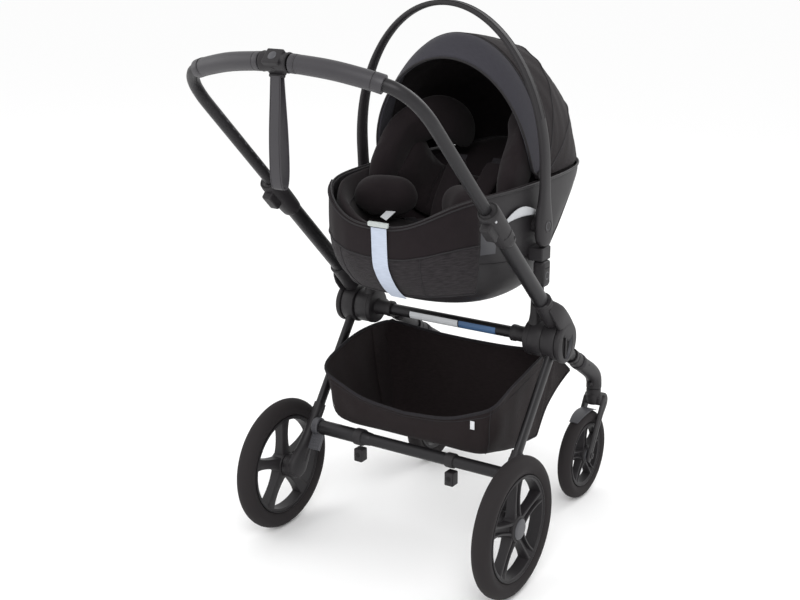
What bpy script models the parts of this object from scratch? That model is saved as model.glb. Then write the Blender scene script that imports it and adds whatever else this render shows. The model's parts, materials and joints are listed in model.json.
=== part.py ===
"""Travel system stroller: a folding frame on four wheels that carries an infant seat.

Units are metres, +Z is up, +Y is the way it is pushed and +X is its right side.
The origin is on the floor, under the middle of the whole stroller.
"""
import math

import bmesh
import bpy
from mathutils import Matrix, Vector

# Fits between neighbouring pieces
TOUCH = 0.0003
SLIDE_FIT = 0.0006
RUNNING_FIT = 0.0008
GRIP_FIT = 0.00035
GRIP_BORE_FIT = 0.0010

# Wheels and where they stand
WHEELBASE = 0.494
REAR_WHEEL_RADIUS = 0.1455
REAR_WHEEL_OUT = 0.288
REAR_TYRE_WIDTH = 0.040
REAR_TYRE_DEPTH = 0.036
FRONT_WHEEL_RADIUS = 0.104
FRONT_WHEEL_OUT = 0.203
FRONT_TYRE_WIDTH = 0.032
FRONT_TYRE_DEPTH = 0.029
RIM_RING = 0.008
SPOKES = 5
AXLE_PIN_RADIUS = 0.006

# How many sides round shapes have
WHEEL_SIDES = 24
DISC_SIDES = 20
TUBE_SIDES = 12
PIN_SIDES = 10

# Folding hub and the handle tubes
HUB_FORWARD = 0.2372
HUB_HEIGHT = 0.4622
CORE_DISC_RADIUS = 0.0380
LEG_DISC_RADIUS = 0.0420
OUTER_DISC_RADIUS = 0.0440
HUB_INNER_FACE = 0.1905
CORE_DISC_WIDTH = 0.0435
LEG_DISC_WIDTH = 0.0322
OUTER_DISC_WIDTH = 0.0124
HUB_PIN_RADIUS = 0.006
RECESS_DEPTH = 0.0070
RECESS_HALF_WIDTH = 0.0235
RECESS_HALF_HEIGHT = 0.0335
CROSS_TUBE_RADIUS = 0.0125
CROSS_COLLAR_RADIUS = 0.0165
CROSS_COLLAR_LENGTH = 0.042
HANDLE_LEAN = math.radians(44.63)
HANDLE_AHEAD_OF_HUB = 0.0257
HANDLE_OUT = 0.2485
HANDLE_TUBE_RADIUS = 0.0118
OUTER_TUBE_RADIUS = 0.0158
SLEEVE_RADIUS = 0.0190
SLEEVE_START = 0.040
CLAMP_RADIUS = 0.0208
INNER_WALL = 0.0014
SLEEVE_TOP = 0.120
CLAMP_LOW = 0.345
CLAMP_HIGH = 0.447
HANDLE_LENGTH = 0.845
BEND_START = 0.690
INNER_TUBE_END = 0.200
GRIP_HALF_SPAN = 0.200
GRIP_RADIUS = 0.0168
CLASP_WIDTH = 0.058
CLASP_PLATE = 0.0350
CLASP_DEPTH = 0.0300
CLASP_ROUND = 0.0030
GRIP_END_GAP = 0.0017
CLASP_BUTTON_RADIUS = 0.0085
STRAP_HALF_WIDTH = 0.0125
STRAP_HALF_THICKNESS = 0.0011
STRAP_DROP = 0.195
STRAP_BAR_RADIUS = 0.0036

# Rear frame
AXLE_TUBE_FORWARD = 0.052
AXLE_TUBE_HEIGHT = 0.2285
AXLE_TUBE_RADIUS = 0.0130
AXLE_SLEEVE_RADIUS = 0.0155
LEG_HALF_DEPTH = 0.0125
LEG_HALF_WIDTH = 0.0085
REAR_LEG_TOP_OUT = 0.2505
REAR_LEG_FOOT_OUT = 0.2465
REAR_BARREL_IN = 0.015
SPINDLE_PAST_MIDDLE = 0.012
BOSS_RADIUS = 0.0275
BOSS_SLEEVE = 0.030
BOSS_SLEEVE_WALL = 0.0030
BOSS_LENGTH = 0.119
AXLE_SLEEVE_LENGTH = 0.150
BRAKE_RING_WIDTH = 0.015
BRAKE_RING_RADIUS = 0.0190
BRAKE_PAD = (0.030, 0.0065, 0.036)
BRAKE_PAD_TURN = Matrix.Rotation(math.radians(-32), 4, "X")
LUG_OUT = 0.114
LUG_HALF_WIDTH = 0.0105
LUG_DROP = 0.046

# Front frame
FRONT_LEG_OUT = 0.2080
FRONT_LEG_RADIUS = 0.0135
FRONT_LEG_START = 0.016
ELBOW_RADIUS = 0.0172
CASTER_TRAIL = 0.052
ELBOW_FOOT_HEIGHT = 0.252
SWIVEL_STEM_RADIUS = 0.0075
POST_OUT = 0.2060
POST_TOP = 0.575
ADAPTER_INNER = 0.2010
ADAPTER_OUTER = 0.2270
ADAPTER_DEPTH = 0.034
ADAPTER_HEIGHT = 0.054
ADAPTER_BUTTON_RADIUS = 0.0095

# Infant seat
SEAT_MIDDLE_FORWARD = 0.2645
SEAT_HALF_LENGTH = 0.3165
SEAT_HALF_WIDTH = 0.1985
SEAT_CORNER = 2.8
SEAT_SIDES = 24
SHELL_STEPS = (0.990, 0.965, 0.90, 0.78, 0.56, 0.24)
SEAT_FLOOR = 0.528
SEAT_ROCK = 0.55
BACK_START = 0.280
BACK_RUN = 0.111
BACK_RISE = 0.175
RIM_HEIGHT = 0.7885
RIM_DIP = 0.058
SHELL_WALL = 0.004
SEAT_WALL = 3.6
SEAT_WALL_SQUARE = 4
SEAT_ROCK_MIDDLE = 0.25
RECEIVER_INNER = 0.1908
RECEIVER_OUTER = 0.2240
RECEIVER_DEPTH = 0.040
RECEIVER_HEIGHT = 0.0287
FOOT_COVER_SPREAD = math.radians(54)
FOOT_COVER_LOW = 0.815
FOOT_COVER_THICKNESS = 0.0045
COVER_GAP = 0.0016
STRAP_GAP = 0.0020
LINER_FLOOR = 0.588
LINER_GAP = 0.0014
LINER_EASE = 0.003
LINER_ROLL = 0.020
LINER_WALL = 4.5
HEAD_RISE = 0.030
HEADREST_LEAN = math.radians(38.5)
HEADREST_FORWARD = 0.360
HEADREST_HALF_THICKNESS = 0.0130
INSERT_MIDDLE_FORWARD = 0.170
INSERT_HALF_WIDTH = 0.140
INSERT_HALF_LENGTH = 0.108
INSERT_HEIGHT = 0.078
INSERT_VALLEY = 0.66
INSERT_VALLEY_WIDTH = 0.038
BASKET_WALL = 0.0030
CARRY_PIVOT_FORWARD = 0.2332
CARRY_PIVOT_HEIGHT = 0.703
CARRY_HALF_WIDTH = 0.2210
CARRY_THICKNESS = 0.0150
CARRY_BOSS_THICKNESS = 0.0225
CARRY_BOSS_RADIUS = 0.0310
CARRY_LEAN = 0.075
CARRY_ARCH_BASE = 0.830
CARRY_ARCH_RISE = 0.309
CARRY_BUTTON_RADIUS = 0.0105
CANOPY_PIVOT_FORWARD = 0.262
CANOPY_HALF_WIDTH = 0.192
BRIM_INNER_RISE = 0.230
BRIM_OUTER_RISE = 0.276
BRIM_THICKNESS = 0.0060
CANOPY_KNUCKLE_RADIUS = 0.0100
DOME_THICKNESS = 0.0030
DOME_INSET = 0.013
DOME_START = 0.0145
SEAM_GAP = 0.0018
DOME_FOOT_SPREAD = 0.030
HOOP_SIDES = 18
PULL_STRAP_WIDTH = 0.036
CLIP_HEIGHT = 0.0100
BUCKLE_FORWARD = 0.170
BUCKLE_HEIGHT = 0.6497

# Sizes that follow from the ones above
GRIP_BEHIND = (
    HANDLE_LENGTH * math.cos(HANDLE_LEAN)
    - HUB_FORWARD
    - HANDLE_AHEAD_OF_HUB * math.sin(HANDLE_LEAN)
    + (CLASP_PLATE * math.cos(HANDLE_LEAN) + CLASP_DEPTH * math.sin(HANDLE_LEAN)) / 2
    - CLASP_ROUND / math.sqrt(2)
)
AXLE_Y = (GRIP_BEHIND - WHEELBASE - FRONT_WHEEL_RADIUS) / 2
FRONT_AXLE_Y = AXLE_Y + WHEELBASE
HUB_Y = AXLE_Y + HUB_FORWARD
SWIVEL_Y = FRONT_AXLE_Y + CASTER_TRAIL
AXLE_TUBE_Y = AXLE_Y + AXLE_TUBE_FORWARD
SEAT_Y = AXLE_Y + SEAT_MIDDLE_FORWARD
PIVOT_Y = AXLE_Y + CARRY_PIVOT_FORWARD
CANOPY_Y = AXLE_Y + CANOPY_PIVOT_FORWARD
CORE_OUTER_FACE = HUB_INNER_FACE + CORE_DISC_WIDTH
LEG_INNER_FACE = CORE_OUTER_FACE + TOUCH
LEG_OUTER_FACE = LEG_INNER_FACE + LEG_DISC_WIDTH
OUTER_INNER_FACE = LEG_OUTER_FACE + TOUCH
HUB_OUTER_FACE = OUTER_INNER_FACE + OUTER_DISC_WIDTH
DOME_BACK_REACH = SEAT_MIDDLE_FORWARD + SEAT_HALF_LENGTH - CANOPY_PIVOT_FORWARD - DOME_INSET
CANOPY_PIVOT_HEIGHT = RIM_HEIGHT + CANOPY_KNUCKLE_RADIUS + SLIDE_FIT
DOME_BASE = RIM_HEIGHT + DOME_THICKNESS + TOUCH
SLEEVE_OUT = HANDLE_OUT + SLEEVE_RADIUS - OUTER_TUBE_RADIUS - INNER_WALL
CLAMP_OUT = HANDLE_OUT + CLAMP_RADIUS - OUTER_TUBE_RADIUS - INNER_WALL
ADAPTER_TOP = POST_TOP + ADAPTER_HEIGHT
SIDES = {"left": -1, "right": 1}

# Finishes: sRGB colour, roughness, metallic
FINISHES = {
    "black_anodised_aluminium": ("2b2a2c", 0.42, 0.6),
    "black_moulded_nylon": ("262427", 0.55, 0.0),
    "black_rubber_foam": ("2a2829", 0.75, 0.0),
    "grey_moulded_nylon": ("4a4a4d", 0.55, 0.0),
    "black_leatherette": ("333135", 0.60, 0.0),
    "black_seat_fabric": ("1d191c", 0.92, 0.0),
    "dark_basket_fabric": ("2a2427", 0.90, 0.0),
    "grey_brim_fabric": ("3d3c41", 0.70, 0.0),
    "pale_webbing": ("b9c1cf", 0.70, 0.0),
    "clear_grey_clip": ("c3c9c6", 0.35, 0.0),
    "red_plastic": ("7a1d22", 0.45, 0.0),
    "bright_steel": ("b9b9bb", 0.30, 1.0),
}


def clear_scene():
    for old in list(bpy.data.objects):
        bpy.data.objects.remove(old, do_unlink=True)


def linear(channel):
    return channel / 12.92 if channel <= 0.04045 else ((channel + 0.055) / 1.055) ** 2.4


def material(finish):
    found = bpy.data.materials.get(finish)
    if found:
        return found
    code, roughness, metallic = FINISHES[finish]
    made = bpy.data.materials.new(finish)
    made.use_nodes = True
    shader = made.node_tree.nodes["Principled BSDF"]
    colour = [linear(int(code[i:i + 2], 16) / 255) for i in (0, 2, 4)]
    shader.inputs["Base Color"].default_value = (*colour, 1)
    shader.inputs["Roughness"].default_value = roughness
    shader.inputs["Metallic"].default_value = metallic
    made.diffuse_color = (*colour, 1)
    return made


def collection(name):
    made = bpy.data.collections.new(name)
    bpy.context.scene.collection.children.link(made)
    return made


clear_scene()
PARTS = collection("travel_system_stroller")
CUTTERS = collection("cutters_and_guides")
PIVOTS = {}


def pivot(name, place, parent=None):
    """An empty on a joint's axis. What moves with that joint is parented to it."""
    empty = bpy.data.objects.new(name, None)
    empty.empty_display_size = 0.04
    PARTS.objects.link(empty)
    empty.location = Vector(place)
    if parent:
        empty.location -= PIVOTS[parent][1]
        empty.parent = PIVOTS[parent][0]
    PIVOTS[name] = (empty, Vector(place))


def add(name, mesh_or_curve, finish, carrier):
    """Put a shape, given in world coordinates, on the pivot that carries it."""
    thing = bpy.data.objects.new(name, mesh_or_curve)
    PARTS.objects.link(thing)
    thing.data.materials.clear()
    thing.data.materials.append(material(finish))
    if carrier in PIVOTS:
        empty, place = PIVOTS[carrier]
        thing.parent = empty
        thing.matrix_parent_inverse = Matrix.Translation(-place)
    return thing


def smooth(thing, angle=40):
    thing.data.shade_smooth()
    thing.data.set_sharp_from_angle(angle=math.radians(angle))
    return thing


def tool(thing):
    """Take a shape out of the stroller, to cut or join another with."""
    PARTS.objects.unlink(thing)
    CUTTERS.objects.link(thing)
    thing.hide_render = True
    thing.display_type = "WIRE"
    return thing


def combine(thing, other, how):
    """Boolean modifier with the exact solver: how is DIFFERENCE or UNION."""
    step = thing.modifiers.new(other.name, "BOOLEAN")
    step.operation = how
    step.solver = "EXACT"
    step.object = other
    return thing


def cut(thing, other):
    return combine(thing, tool(other), "DIFFERENCE")


def join(thing, other):
    return combine(thing, tool(other), "UNION")


def mesh_from(name, build, triangles=False):
    mesh = bpy.data.meshes.new(name)
    work = bmesh.new()
    build(work)
    if triangles:
        bmesh.ops.triangulate(work, faces=work.faces, quad_method="FIXED")
    bmesh.ops.recalc_face_normals(work, faces=work.faces)
    work.to_mesh(mesh)
    work.free()
    return mesh


def box(name, middle, size, finish, carrier, round_edge=0.0, turn=None):
    """A block from a cube, with its edges rounded by Bevel."""
    def build(work):
        bmesh.ops.create_cube(work, size=1.0)
        bmesh.ops.scale(work, vec=size, verts=work.verts)
        if turn:
            bmesh.ops.transform(work, matrix=turn, verts=work.verts)
        bmesh.ops.translate(work, vec=middle, verts=work.verts)

    made = add(name, mesh_from(name, build), finish, carrier)
    if round_edge:
        bevel = made.modifiers.new("rounded", "BEVEL")
        bevel.width = round_edge
        bevel.segments = 1
    return made


def axis_matrix(start, direction):
    """Turns local +Z to a direction, with its local +Y kept as near world +Z as it can be."""
    z = Vector(direction).normalized()
    up = Vector((0, 0, 1)) if abs(z.z) < 0.95 else Vector((0, 1, 0))
    x = up.cross(z).normalized()
    y = z.cross(x)
    turn = Matrix((x, y, z)).transposed().to_4x4()
    return Matrix.Translation(start) @ turn


def rod(name, start, end, radius, finish, carrier, sides=16, end_radius=None):
    """A round bar between two points, from a cone with caps."""
    start, end = Vector(start), Vector(end)
    length = (end - start).length

    def build(work):
        bmesh.ops.create_cone(
            work, cap_ends=True, segments=sides, radius1=radius,
            radius2=radius if end_radius is None else end_radius, depth=length,
        )
        bmesh.ops.translate(work, vec=(0, 0, length / 2), verts=work.verts)
        bmesh.ops.transform(work, matrix=axis_matrix(start, end - start), verts=work.verts)

    return smooth(add(name, mesh_from(name, build), finish, carrier))


def turned(name, profile, start, direction, finish, carrier, sides=24, closed=False):
    """A turned shape: (radius, height) points round an axis, by a Screw modifier."""
    mesh = bpy.data.meshes.new(name)
    points = [(r, 0, z) for r, z in profile]
    edges = [(i, i + 1) for i in range(len(points) - 1)]
    if closed:
        edges.append((len(points) - 1, 0))
    mesh.from_pydata(points, edges, [])
    made = add(name, mesh, finish, carrier)
    screw = made.modifiers.new("turn", "SCREW")
    screw.steps = screw.render_steps = sides
    screw.use_merge_vertices = True
    screw.merge_threshold = 0.00005
    local = axis_matrix(Vector(start), direction)
    if carrier in PIVOTS:
        place = PIVOTS[carrier][1]
        made.matrix_parent_inverse = Matrix.Identity(4)
        local = Matrix.Translation(-place) @ local
    made.matrix_basis = local
    return made


def disc(radius, low, high, edge):
    """Profile of a solid disc with rounded edges, for turned()."""
    return [
        (0, high), (radius - edge, high), (radius, high - edge),
        (radius, low + edge), (radius - edge, low), (0, low),
    ]


def spline_points(points, count):
    """Points on a smooth curve through the given ones (Catmull-Rom)."""
    points = [Vector(p) for p in points]
    before = points[0] * 2 - points[1]
    after = points[-1] * 2 - points[-2]
    padded = [before, *points, after]
    spans = len(points) - 1
    found = []
    for i in range(count):
        where = i / (count - 1) * spans
        span = min(int(where), spans - 1)
        t = where - span
        a, b, c, d = padded[span:span + 4]
        found.append(
            b + (c - a) * (t / 2) + (2 * a - 5 * b + 4 * c - d) * (t * t / 2)
            + (3 * b - a - 3 * c + d) * (t ** 3 / 2)
        )
    return found


def pipe(name, points, radius, finish, carrier, resolution=3):
    """A round tube or bar along points: a poly curve with a bevel depth and filled caps."""
    curve = bpy.data.curves.new(name, "CURVE")
    curve.dimensions = "3D"
    curve.bevel_depth = radius
    curve.bevel_resolution = resolution
    curve.use_fill_caps = True
    line = curve.splines.new("POLY")
    line.points.add(len(points) - 1)
    for spot, place in zip(line.points, points):
        spot.co = (*place, 1)
    return add(name, curve, finish, carrier)


def as_mesh(thing):
    """Swap a curve for its mesh with the caps welded, so that it can be cut or joined."""
    bpy.context.view_layer.update()
    graph = bpy.context.evaluated_depsgraph_get()
    mesh = bpy.data.meshes.new_from_object(thing.evaluated_get(graph))
    work = bmesh.new()
    work.from_mesh(mesh)
    bmesh.ops.remove_doubles(work, verts=work.verts, dist=0.00002)
    bmesh.ops.recalc_face_normals(work, faces=work.faces)
    work.to_mesh(mesh)
    work.free()
    name, matrix, parent = thing.name, thing.matrix_world.copy(), thing.parent
    finish = thing.data.materials[0].name
    inverse = thing.matrix_parent_inverse.copy()
    bpy.data.objects.remove(thing, do_unlink=True)
    mesh.name = name
    made = bpy.data.objects.new(name, mesh)
    PARTS.objects.link(made)
    mesh.materials.clear()
    mesh.materials.append(material(finish))
    made.parent = parent
    made.matrix_parent_inverse = inverse
    if not parent:
        made.matrix_world = matrix
    return smooth(made)


def bridge(work, rings, close_ends=True, loop=True):
    """Skin rings of points, each with as many points, into one surface."""
    rows = [[work.verts.new(p) for p in ring] for ring in rings]
    for low, high in zip(rows, rows[1:]):
        count = len(low)
        for i in range(count if loop else count - 1):
            k = (i + 1) % count
            work.faces.new((low[i], low[k], high[k], high[i]))
    if close_ends:
        work.faces.new(rows[0])
        work.faces.new(rows[-1])
    return rows


def oval_ring(middle, across, along, half_a, half_b, sides, square=2.0):
    """One section: an ellipse, or a rounded rectangle when square is over 2."""
    ring = []
    for i in range(sides):
        turn = 2 * math.pi * (i + 0.5) / sides
        c, s = math.cos(turn), math.sin(turn)
        a = half_a * math.copysign(abs(c) ** (2 / square), c)
        b = half_b * math.copysign(abs(s) ** (2 / square), s)
        ring.append(middle + across * a + along * b)
    return ring


def swept(name, path, halves, across, finish, carrier, sides=12, square=2.0):
    """A bar along a path whose section changes: halves gives its half sizes at each point."""
    path = [Vector(p) for p in path]
    across = Vector(across).normalized()
    rings = []
    for i, middle in enumerate(path):
        ahead = path[min(i + 1, len(path) - 1)] - path[max(i - 1, 0)]
        ahead.normalize()
        flat = (across - ahead * across.dot(ahead)).normalized()
        rings.append(oval_ring(middle, flat, ahead.cross(flat), *halves[i], sides, square))
    mesh = mesh_from(name, lambda work: bridge(work, rings))
    return smooth(add(name, mesh, finish, carrier))


def on_handle(along, ahead=0.0):
    """A point in the handle tubes' plane: along the tubes from beside the hub, and ahead of them."""
    c, s = math.cos(HANDLE_LEAN), math.sin(HANDLE_LEAN)
    off = HANDLE_AHEAD_OF_HUB + ahead
    return Vector((0, HUB_Y + s * off - c * along, HUB_HEIGHT + c * off + s * along))


HANDLE_DIRECTION = Vector((0, -math.cos(HANDLE_LEAN), math.sin(HANDLE_LEAN)))


def make_pivots():
    hub = (0, HUB_Y, HUB_HEIGHT)
    pivot("stroller", (0, 0, 0))
    pivot("handle_fold", hub, "stroller")
    pivot("rear_fold", hub, "stroller")
    pivot("handle_height", on_handle(CLAMP_HIGH), "handle_fold")
    pivot("clasp_press", clasp_button_place(), "handle_height")
    pivot("wrist_strap_swing", strap_root(), "handle_height")
    for side, s in SIDES.items():
        swivel = (s * FRONT_WHEEL_OUT, SWIVEL_Y, ELBOW_FOOT_HEIGHT)
        front = (s * FRONT_WHEEL_OUT, FRONT_AXLE_Y, FRONT_WHEEL_RADIUS)
        rear = (s * REAR_WHEEL_OUT, AXLE_Y, REAR_WHEEL_RADIUS)
        pivot(f"caster_{side}", swivel, "stroller")
        pivot(f"front_spin_{side}", front, f"caster_{side}")
        pivot(f"rear_spin_{side}", rear, "rear_fold")
        pivot(f"lock_slide_{side}", lock_place(s), "stroller")
        pivot(f"adapter_press_{side}", adapter_button_place(s), "stroller")
    pivot("brake", brake_place(), "rear_fold")
    pivot("seat_lift", (0, PIVOT_Y, ADAPTER_TOP), "stroller")
    pivot("carry_turn", (0, PIVOT_Y, CARRY_PIVOT_HEIGHT), "seat_lift")
    for side, s in SIDES.items():
        pivot(f"carry_press_{side}", carry_button_place(s), "carry_turn")
    pivot("canopy_turn", (0, CANOPY_Y, CANOPY_PIVOT_HEIGHT), "seat_lift")
    pivot("buckle_press", buckle_place(), "seat_lift")


# Places that pieces and pivots share

def strap_root():
    return on_handle(HANDLE_LENGTH) + Vector((0, 0, -GRIP_RADIUS - 0.006))


def clasp_button_place():
    return on_handle(HANDLE_LENGTH + CLASP_PLATE / 2)


def lock_place(s):
    return Vector((s * FRONT_WHEEL_OUT, SWIVEL_Y - ELBOW_RADIUS, ELBOW_FOOT_HEIGHT + 0.022))


def adapter_button_place(s):
    return Vector((s * ADAPTER_OUTER, HUB_Y, POST_TOP + 0.42 * ADAPTER_HEIGHT))


def brake_place():
    return axle_tube_end(-1) + Vector((0.0015, 0, 0))


def carry_button_place(s):
    return Vector((s * (CARRY_HALF_WIDTH + CARRY_THICKNESS / 2), PIVOT_Y, CARRY_PIVOT_HEIGHT))


def buckle_place():
    return Vector((0, AXLE_Y + BUCKLE_FORWARD, BUCKLE_HEIGHT))


# Wheels

def tyre(name, radius, width, depth, middle, carrier):
    half = width / 2
    inner = radius - depth
    arc_middle = radius - half
    profile = [(inner, half * 0.62), (inner, -half * 0.62)]
    for i in range(6):
        turn = -math.pi / 2 + math.pi * i / 5
        crown = math.cos(turn) / math.cos(math.pi / 10)
        profile.append((arc_middle + half * crown, half * math.sin(turn)))
    return turned(name, profile[::-1], middle, (1, 0, 0), "black_rubber_foam", carrier,
                  WHEEL_SIDES, True)


def ring_points(radius, count, start=0.0):
    return [
        (radius * math.cos(start + 2 * math.pi * i / count),
         radius * math.sin(start + 2 * math.pi * i / count))
        for i in range(count)
    ]


def window(index, ring, hub, spoke_half):
    """Outline of the gap between two spokes: along the ring, then round the hub."""
    step = 2 * math.pi / SPOKES
    start = math.pi / 2 + index * step
    points = []
    for radius, count in ((ring, 5), (hub, 2)):
        side = math.asin(spoke_half / radius)
        low, high = start + side, start + step - side
        arc = [low + (high - low) * k / (count - 1) for k in range(count)]
        if radius == hub:
            arc.reverse()
        points += [(radius * math.cos(a), radius * math.sin(a)) for a in arc]
    return points


def outline(name, loops, half_thickness, start, direction, finish, carrier):
    """Flat outlines as a filled 2D curve with thickness, lying square to a direction."""
    curve = bpy.data.curves.new(name, "CURVE")
    curve.dimensions = "2D"
    curve.fill_mode = "BOTH"
    curve.extrude = half_thickness
    for points in loops:
        line = curve.splines.new("POLY")
        line.points.add(len(points) - 1)
        line.use_cyclic_u = True
        for spot, (x, y) in zip(line.points, points):
            spot.co = (x, y, 0, 1)
    made = add(name, curve, finish, carrier)
    local = axis_matrix(Vector(start), direction)
    if carrier in PIVOTS:
        made.matrix_parent_inverse = Matrix.Identity(4)
        local = Matrix.Translation(-PIVOTS[carrier][1]) @ local
    made.matrix_basis = local
    return made


def flat_piece(*details):
    """An outline made a mesh that keeps its own place, ready for Booleans."""
    thing = outline(*details)
    bpy.context.view_layer.update()
    graph = bpy.context.evaluated_depsgraph_get()
    mesh = bpy.data.meshes.new_from_object(thing.evaluated_get(graph))
    work = bmesh.new()
    work.from_mesh(mesh)
    bmesh.ops.remove_doubles(work, verts=work.verts, dist=0.00002)
    bmesh.ops.recalc_face_normals(work, faces=work.faces)
    work.to_mesh(mesh)
    work.free()
    name, parent, basis = thing.name, thing.parent, thing.matrix_basis.copy()
    finish = thing.data.materials[0].name
    bpy.data.objects.remove(thing, do_unlink=True)
    made = bpy.data.objects.new(name, mesh)
    PARTS.objects.link(made)
    mesh.materials.clear()
    mesh.materials.append(material(finish))
    made.parent = parent
    made.matrix_parent_inverse = Matrix.Identity(4)
    made.matrix_basis = basis
    return made


def rim(name, radius, depth, tyre_width, middle, outward, carrier, bore, hub_out, hub_in):
    """Five-spoke wheel centre: a ring, spokes with a sunk channel, and a barrel with a bore."""
    ring_outer = radius - depth - GRIP_FIT
    ring_inner = ring_outer - RIM_RING
    hub = 0.19 * radius
    spoke_half = 0.062 * radius + 0.0008
    half = 0.34 * tyre_width
    middle = Vector(middle)
    loops = [ring_points(ring_outer, WHEEL_SIDES)]
    loops += [window(i, ring_inner, hub, spoke_half) for i in range(SPOKES)]
    made = flat_piece(name, loops, half, middle, outward, "black_moulded_nylon", carrier)
    channel_low, channel_high = hub + 0.010, ring_inner - 0.006
    slots = []
    for i in range(SPOKES):
        turn = math.pi / 2 + 2 * math.pi * i / SPOKES
        along = (math.cos(turn), math.sin(turn))
        side = (-math.sin(turn) * spoke_half * 0.5, math.cos(turn) * spoke_half * 0.5)
        slots.append([
            (along[0] * r + side[0] * k, along[1] * r + side[1] * k)
            for r, k in ((channel_low, -1), (channel_high, -1), (channel_high, 1), (channel_low, 1))
        ])
    cut(made, flat_piece(f"{name}_channels", slots, half * 0.55, middle + Vector(outward) * half,
                         outward, "black_moulded_nylon", carrier))
    wide = hub + 0.0012
    barrel = [(0, hub_out), (hub * 0.85, hub_out), (wide, hub_out - 0.003), (wide, -hub_in),
              (0, -hub_in)]
    join(made, turned(f"{name}_barrel", barrel, middle, outward,
                      "black_moulded_nylon", carrier, TUBE_SIDES))
    low, high = bore
    cut(made, rod(f"{name}_bore", middle + Vector(outward) * low, middle + Vector(outward) * high,
                  AXLE_PIN_RADIUS + RUNNING_FIT / 2, "bright_steel", carrier, PIN_SIDES))
    return made


def make_wheels():
    for side, s in SIDES.items():
        rear = Vector((s * REAR_WHEEL_OUT, AXLE_Y, REAR_WHEEL_RADIUS))
        out = (s, 0, 0)
        carrier = f"rear_spin_{side}"
        tyre(f"rear_tyre_{side}", REAR_WHEEL_RADIUS, REAR_TYRE_WIDTH, REAR_TYRE_DEPTH,
             rear, carrier)
        rim(f"rear_rim_{side}", REAR_WHEEL_RADIUS, REAR_TYRE_DEPTH, REAR_TYRE_WIDTH, rear, out,
            carrier, (-0.040, SPINDLE_PAST_MIDDLE), 0.019, REAR_BARREL_IN)
        front = Vector((s * FRONT_WHEEL_OUT, FRONT_AXLE_Y, FRONT_WHEEL_RADIUS))
        carrier = f"front_spin_{side}"
        tyre(f"front_tyre_{side}", FRONT_WHEEL_RADIUS, FRONT_TYRE_WIDTH, FRONT_TYRE_DEPTH,
             front, carrier)
        rim(f"front_rim_{side}", FRONT_WHEEL_RADIUS, FRONT_TYRE_DEPTH, FRONT_TYRE_WIDTH, front,
            out, carrier, (-0.05, 0.05), fork_gap() - TOUCH, fork_gap() - TOUCH)


# Casters

def fork_gap():
    """From the front wheel's middle to the inner face of a fork arm."""
    return FRONT_TYRE_WIDTH / 2 + 0.0022


def make_casters():
    arm = 0.0040
    crown_top = ELBOW_FOOT_HEIGHT - TOUCH
    crown_low = FRONT_WHEEL_RADIUS * 2 + 0.0035
    for side, s in SIDES.items():
        carrier = f"caster_{side}"
        x = s * FRONT_WHEEL_OUT
        axle = Vector((x, FRONT_AXLE_Y, FRONT_WHEEL_RADIUS))
        fork = turned(
            f"caster_fork_{side}",
            [(0, crown_top), (0.0160, crown_top), (0.0172, crown_top - 0.0015),
             (0.0172, crown_low + 0.010), (0.0150, crown_low), (0, crown_low)],
            (x, SWIVEL_Y, 0), (0, 0, 1), "black_moulded_nylon", carrier, TUBE_SIDES)
        knuckle = box(f"{fork.name}_knuckle", (x, SWIVEL_Y + 0.010, crown_low + 0.011),
                      (2 * (fork_gap() + arm), 0.042, 0.022), "black_moulded_nylon", carrier, 0.006)
        join(fork, knuckle)
        for end in (-1, 1):
            out = end * (fork_gap() + arm)
            path = [
                axle + Vector((out, -0.010, -0.013)),
                axle + Vector((out, -0.004, 0)),
                axle + Vector((out, 0.018, 0.040)),
                axle + Vector((out, 0.045, 0.085)),
                axle + Vector((out, 0.064, 0.113)),
                axle + Vector((out, 0.068, 0.128)),
            ]
            halves = [(arm * 0.8, 0.006), (arm, 0.0115), (arm, 0.0105), (arm, 0.0125),
                      (arm, 0.0165), (arm * 0.8, 0.008)]
            join(fork, swept(f"{fork.name}_arm_{end}", path, halves, (1, 0, 0),
                             "black_moulded_nylon", carrier, 8, 2.6))
        join(fork, rod(f"{fork.name}_axle", axle + Vector((-fork_gap() - arm, 0, 0)),
                       axle + Vector((fork_gap() + arm, 0, 0)), AXLE_PIN_RADIUS - RUNNING_FIT / 2,
                       "bright_steel", carrier, PIN_SIDES))
        join(fork, rod(f"{fork.name}_stem", (x, SWIVEL_Y, crown_top - 0.004),
                       (x, SWIVEL_Y, crown_top + 0.030), SWIVEL_STEM_RADIUS,
                       "bright_steel", carrier, PIN_SIDES))
        smooth(fork)


def front_leg_path(s):
    """From the core disc down to the elbow: root, seam, bend and foot of the front leg."""
    root = Vector((s * FRONT_LEG_OUT, HUB_Y + 0.0130, HUB_HEIGHT + 0.0115))
    bend = Vector((s * FRONT_WHEEL_OUT, SWIVEL_Y - 0.020, 0.296))
    foot = Vector((s * FRONT_WHEEL_OUT, SWIVEL_Y, ELBOW_FOOT_HEIGHT))
    seam = root.lerp(bend, 0.585)
    return root, seam, bend, foot


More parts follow.
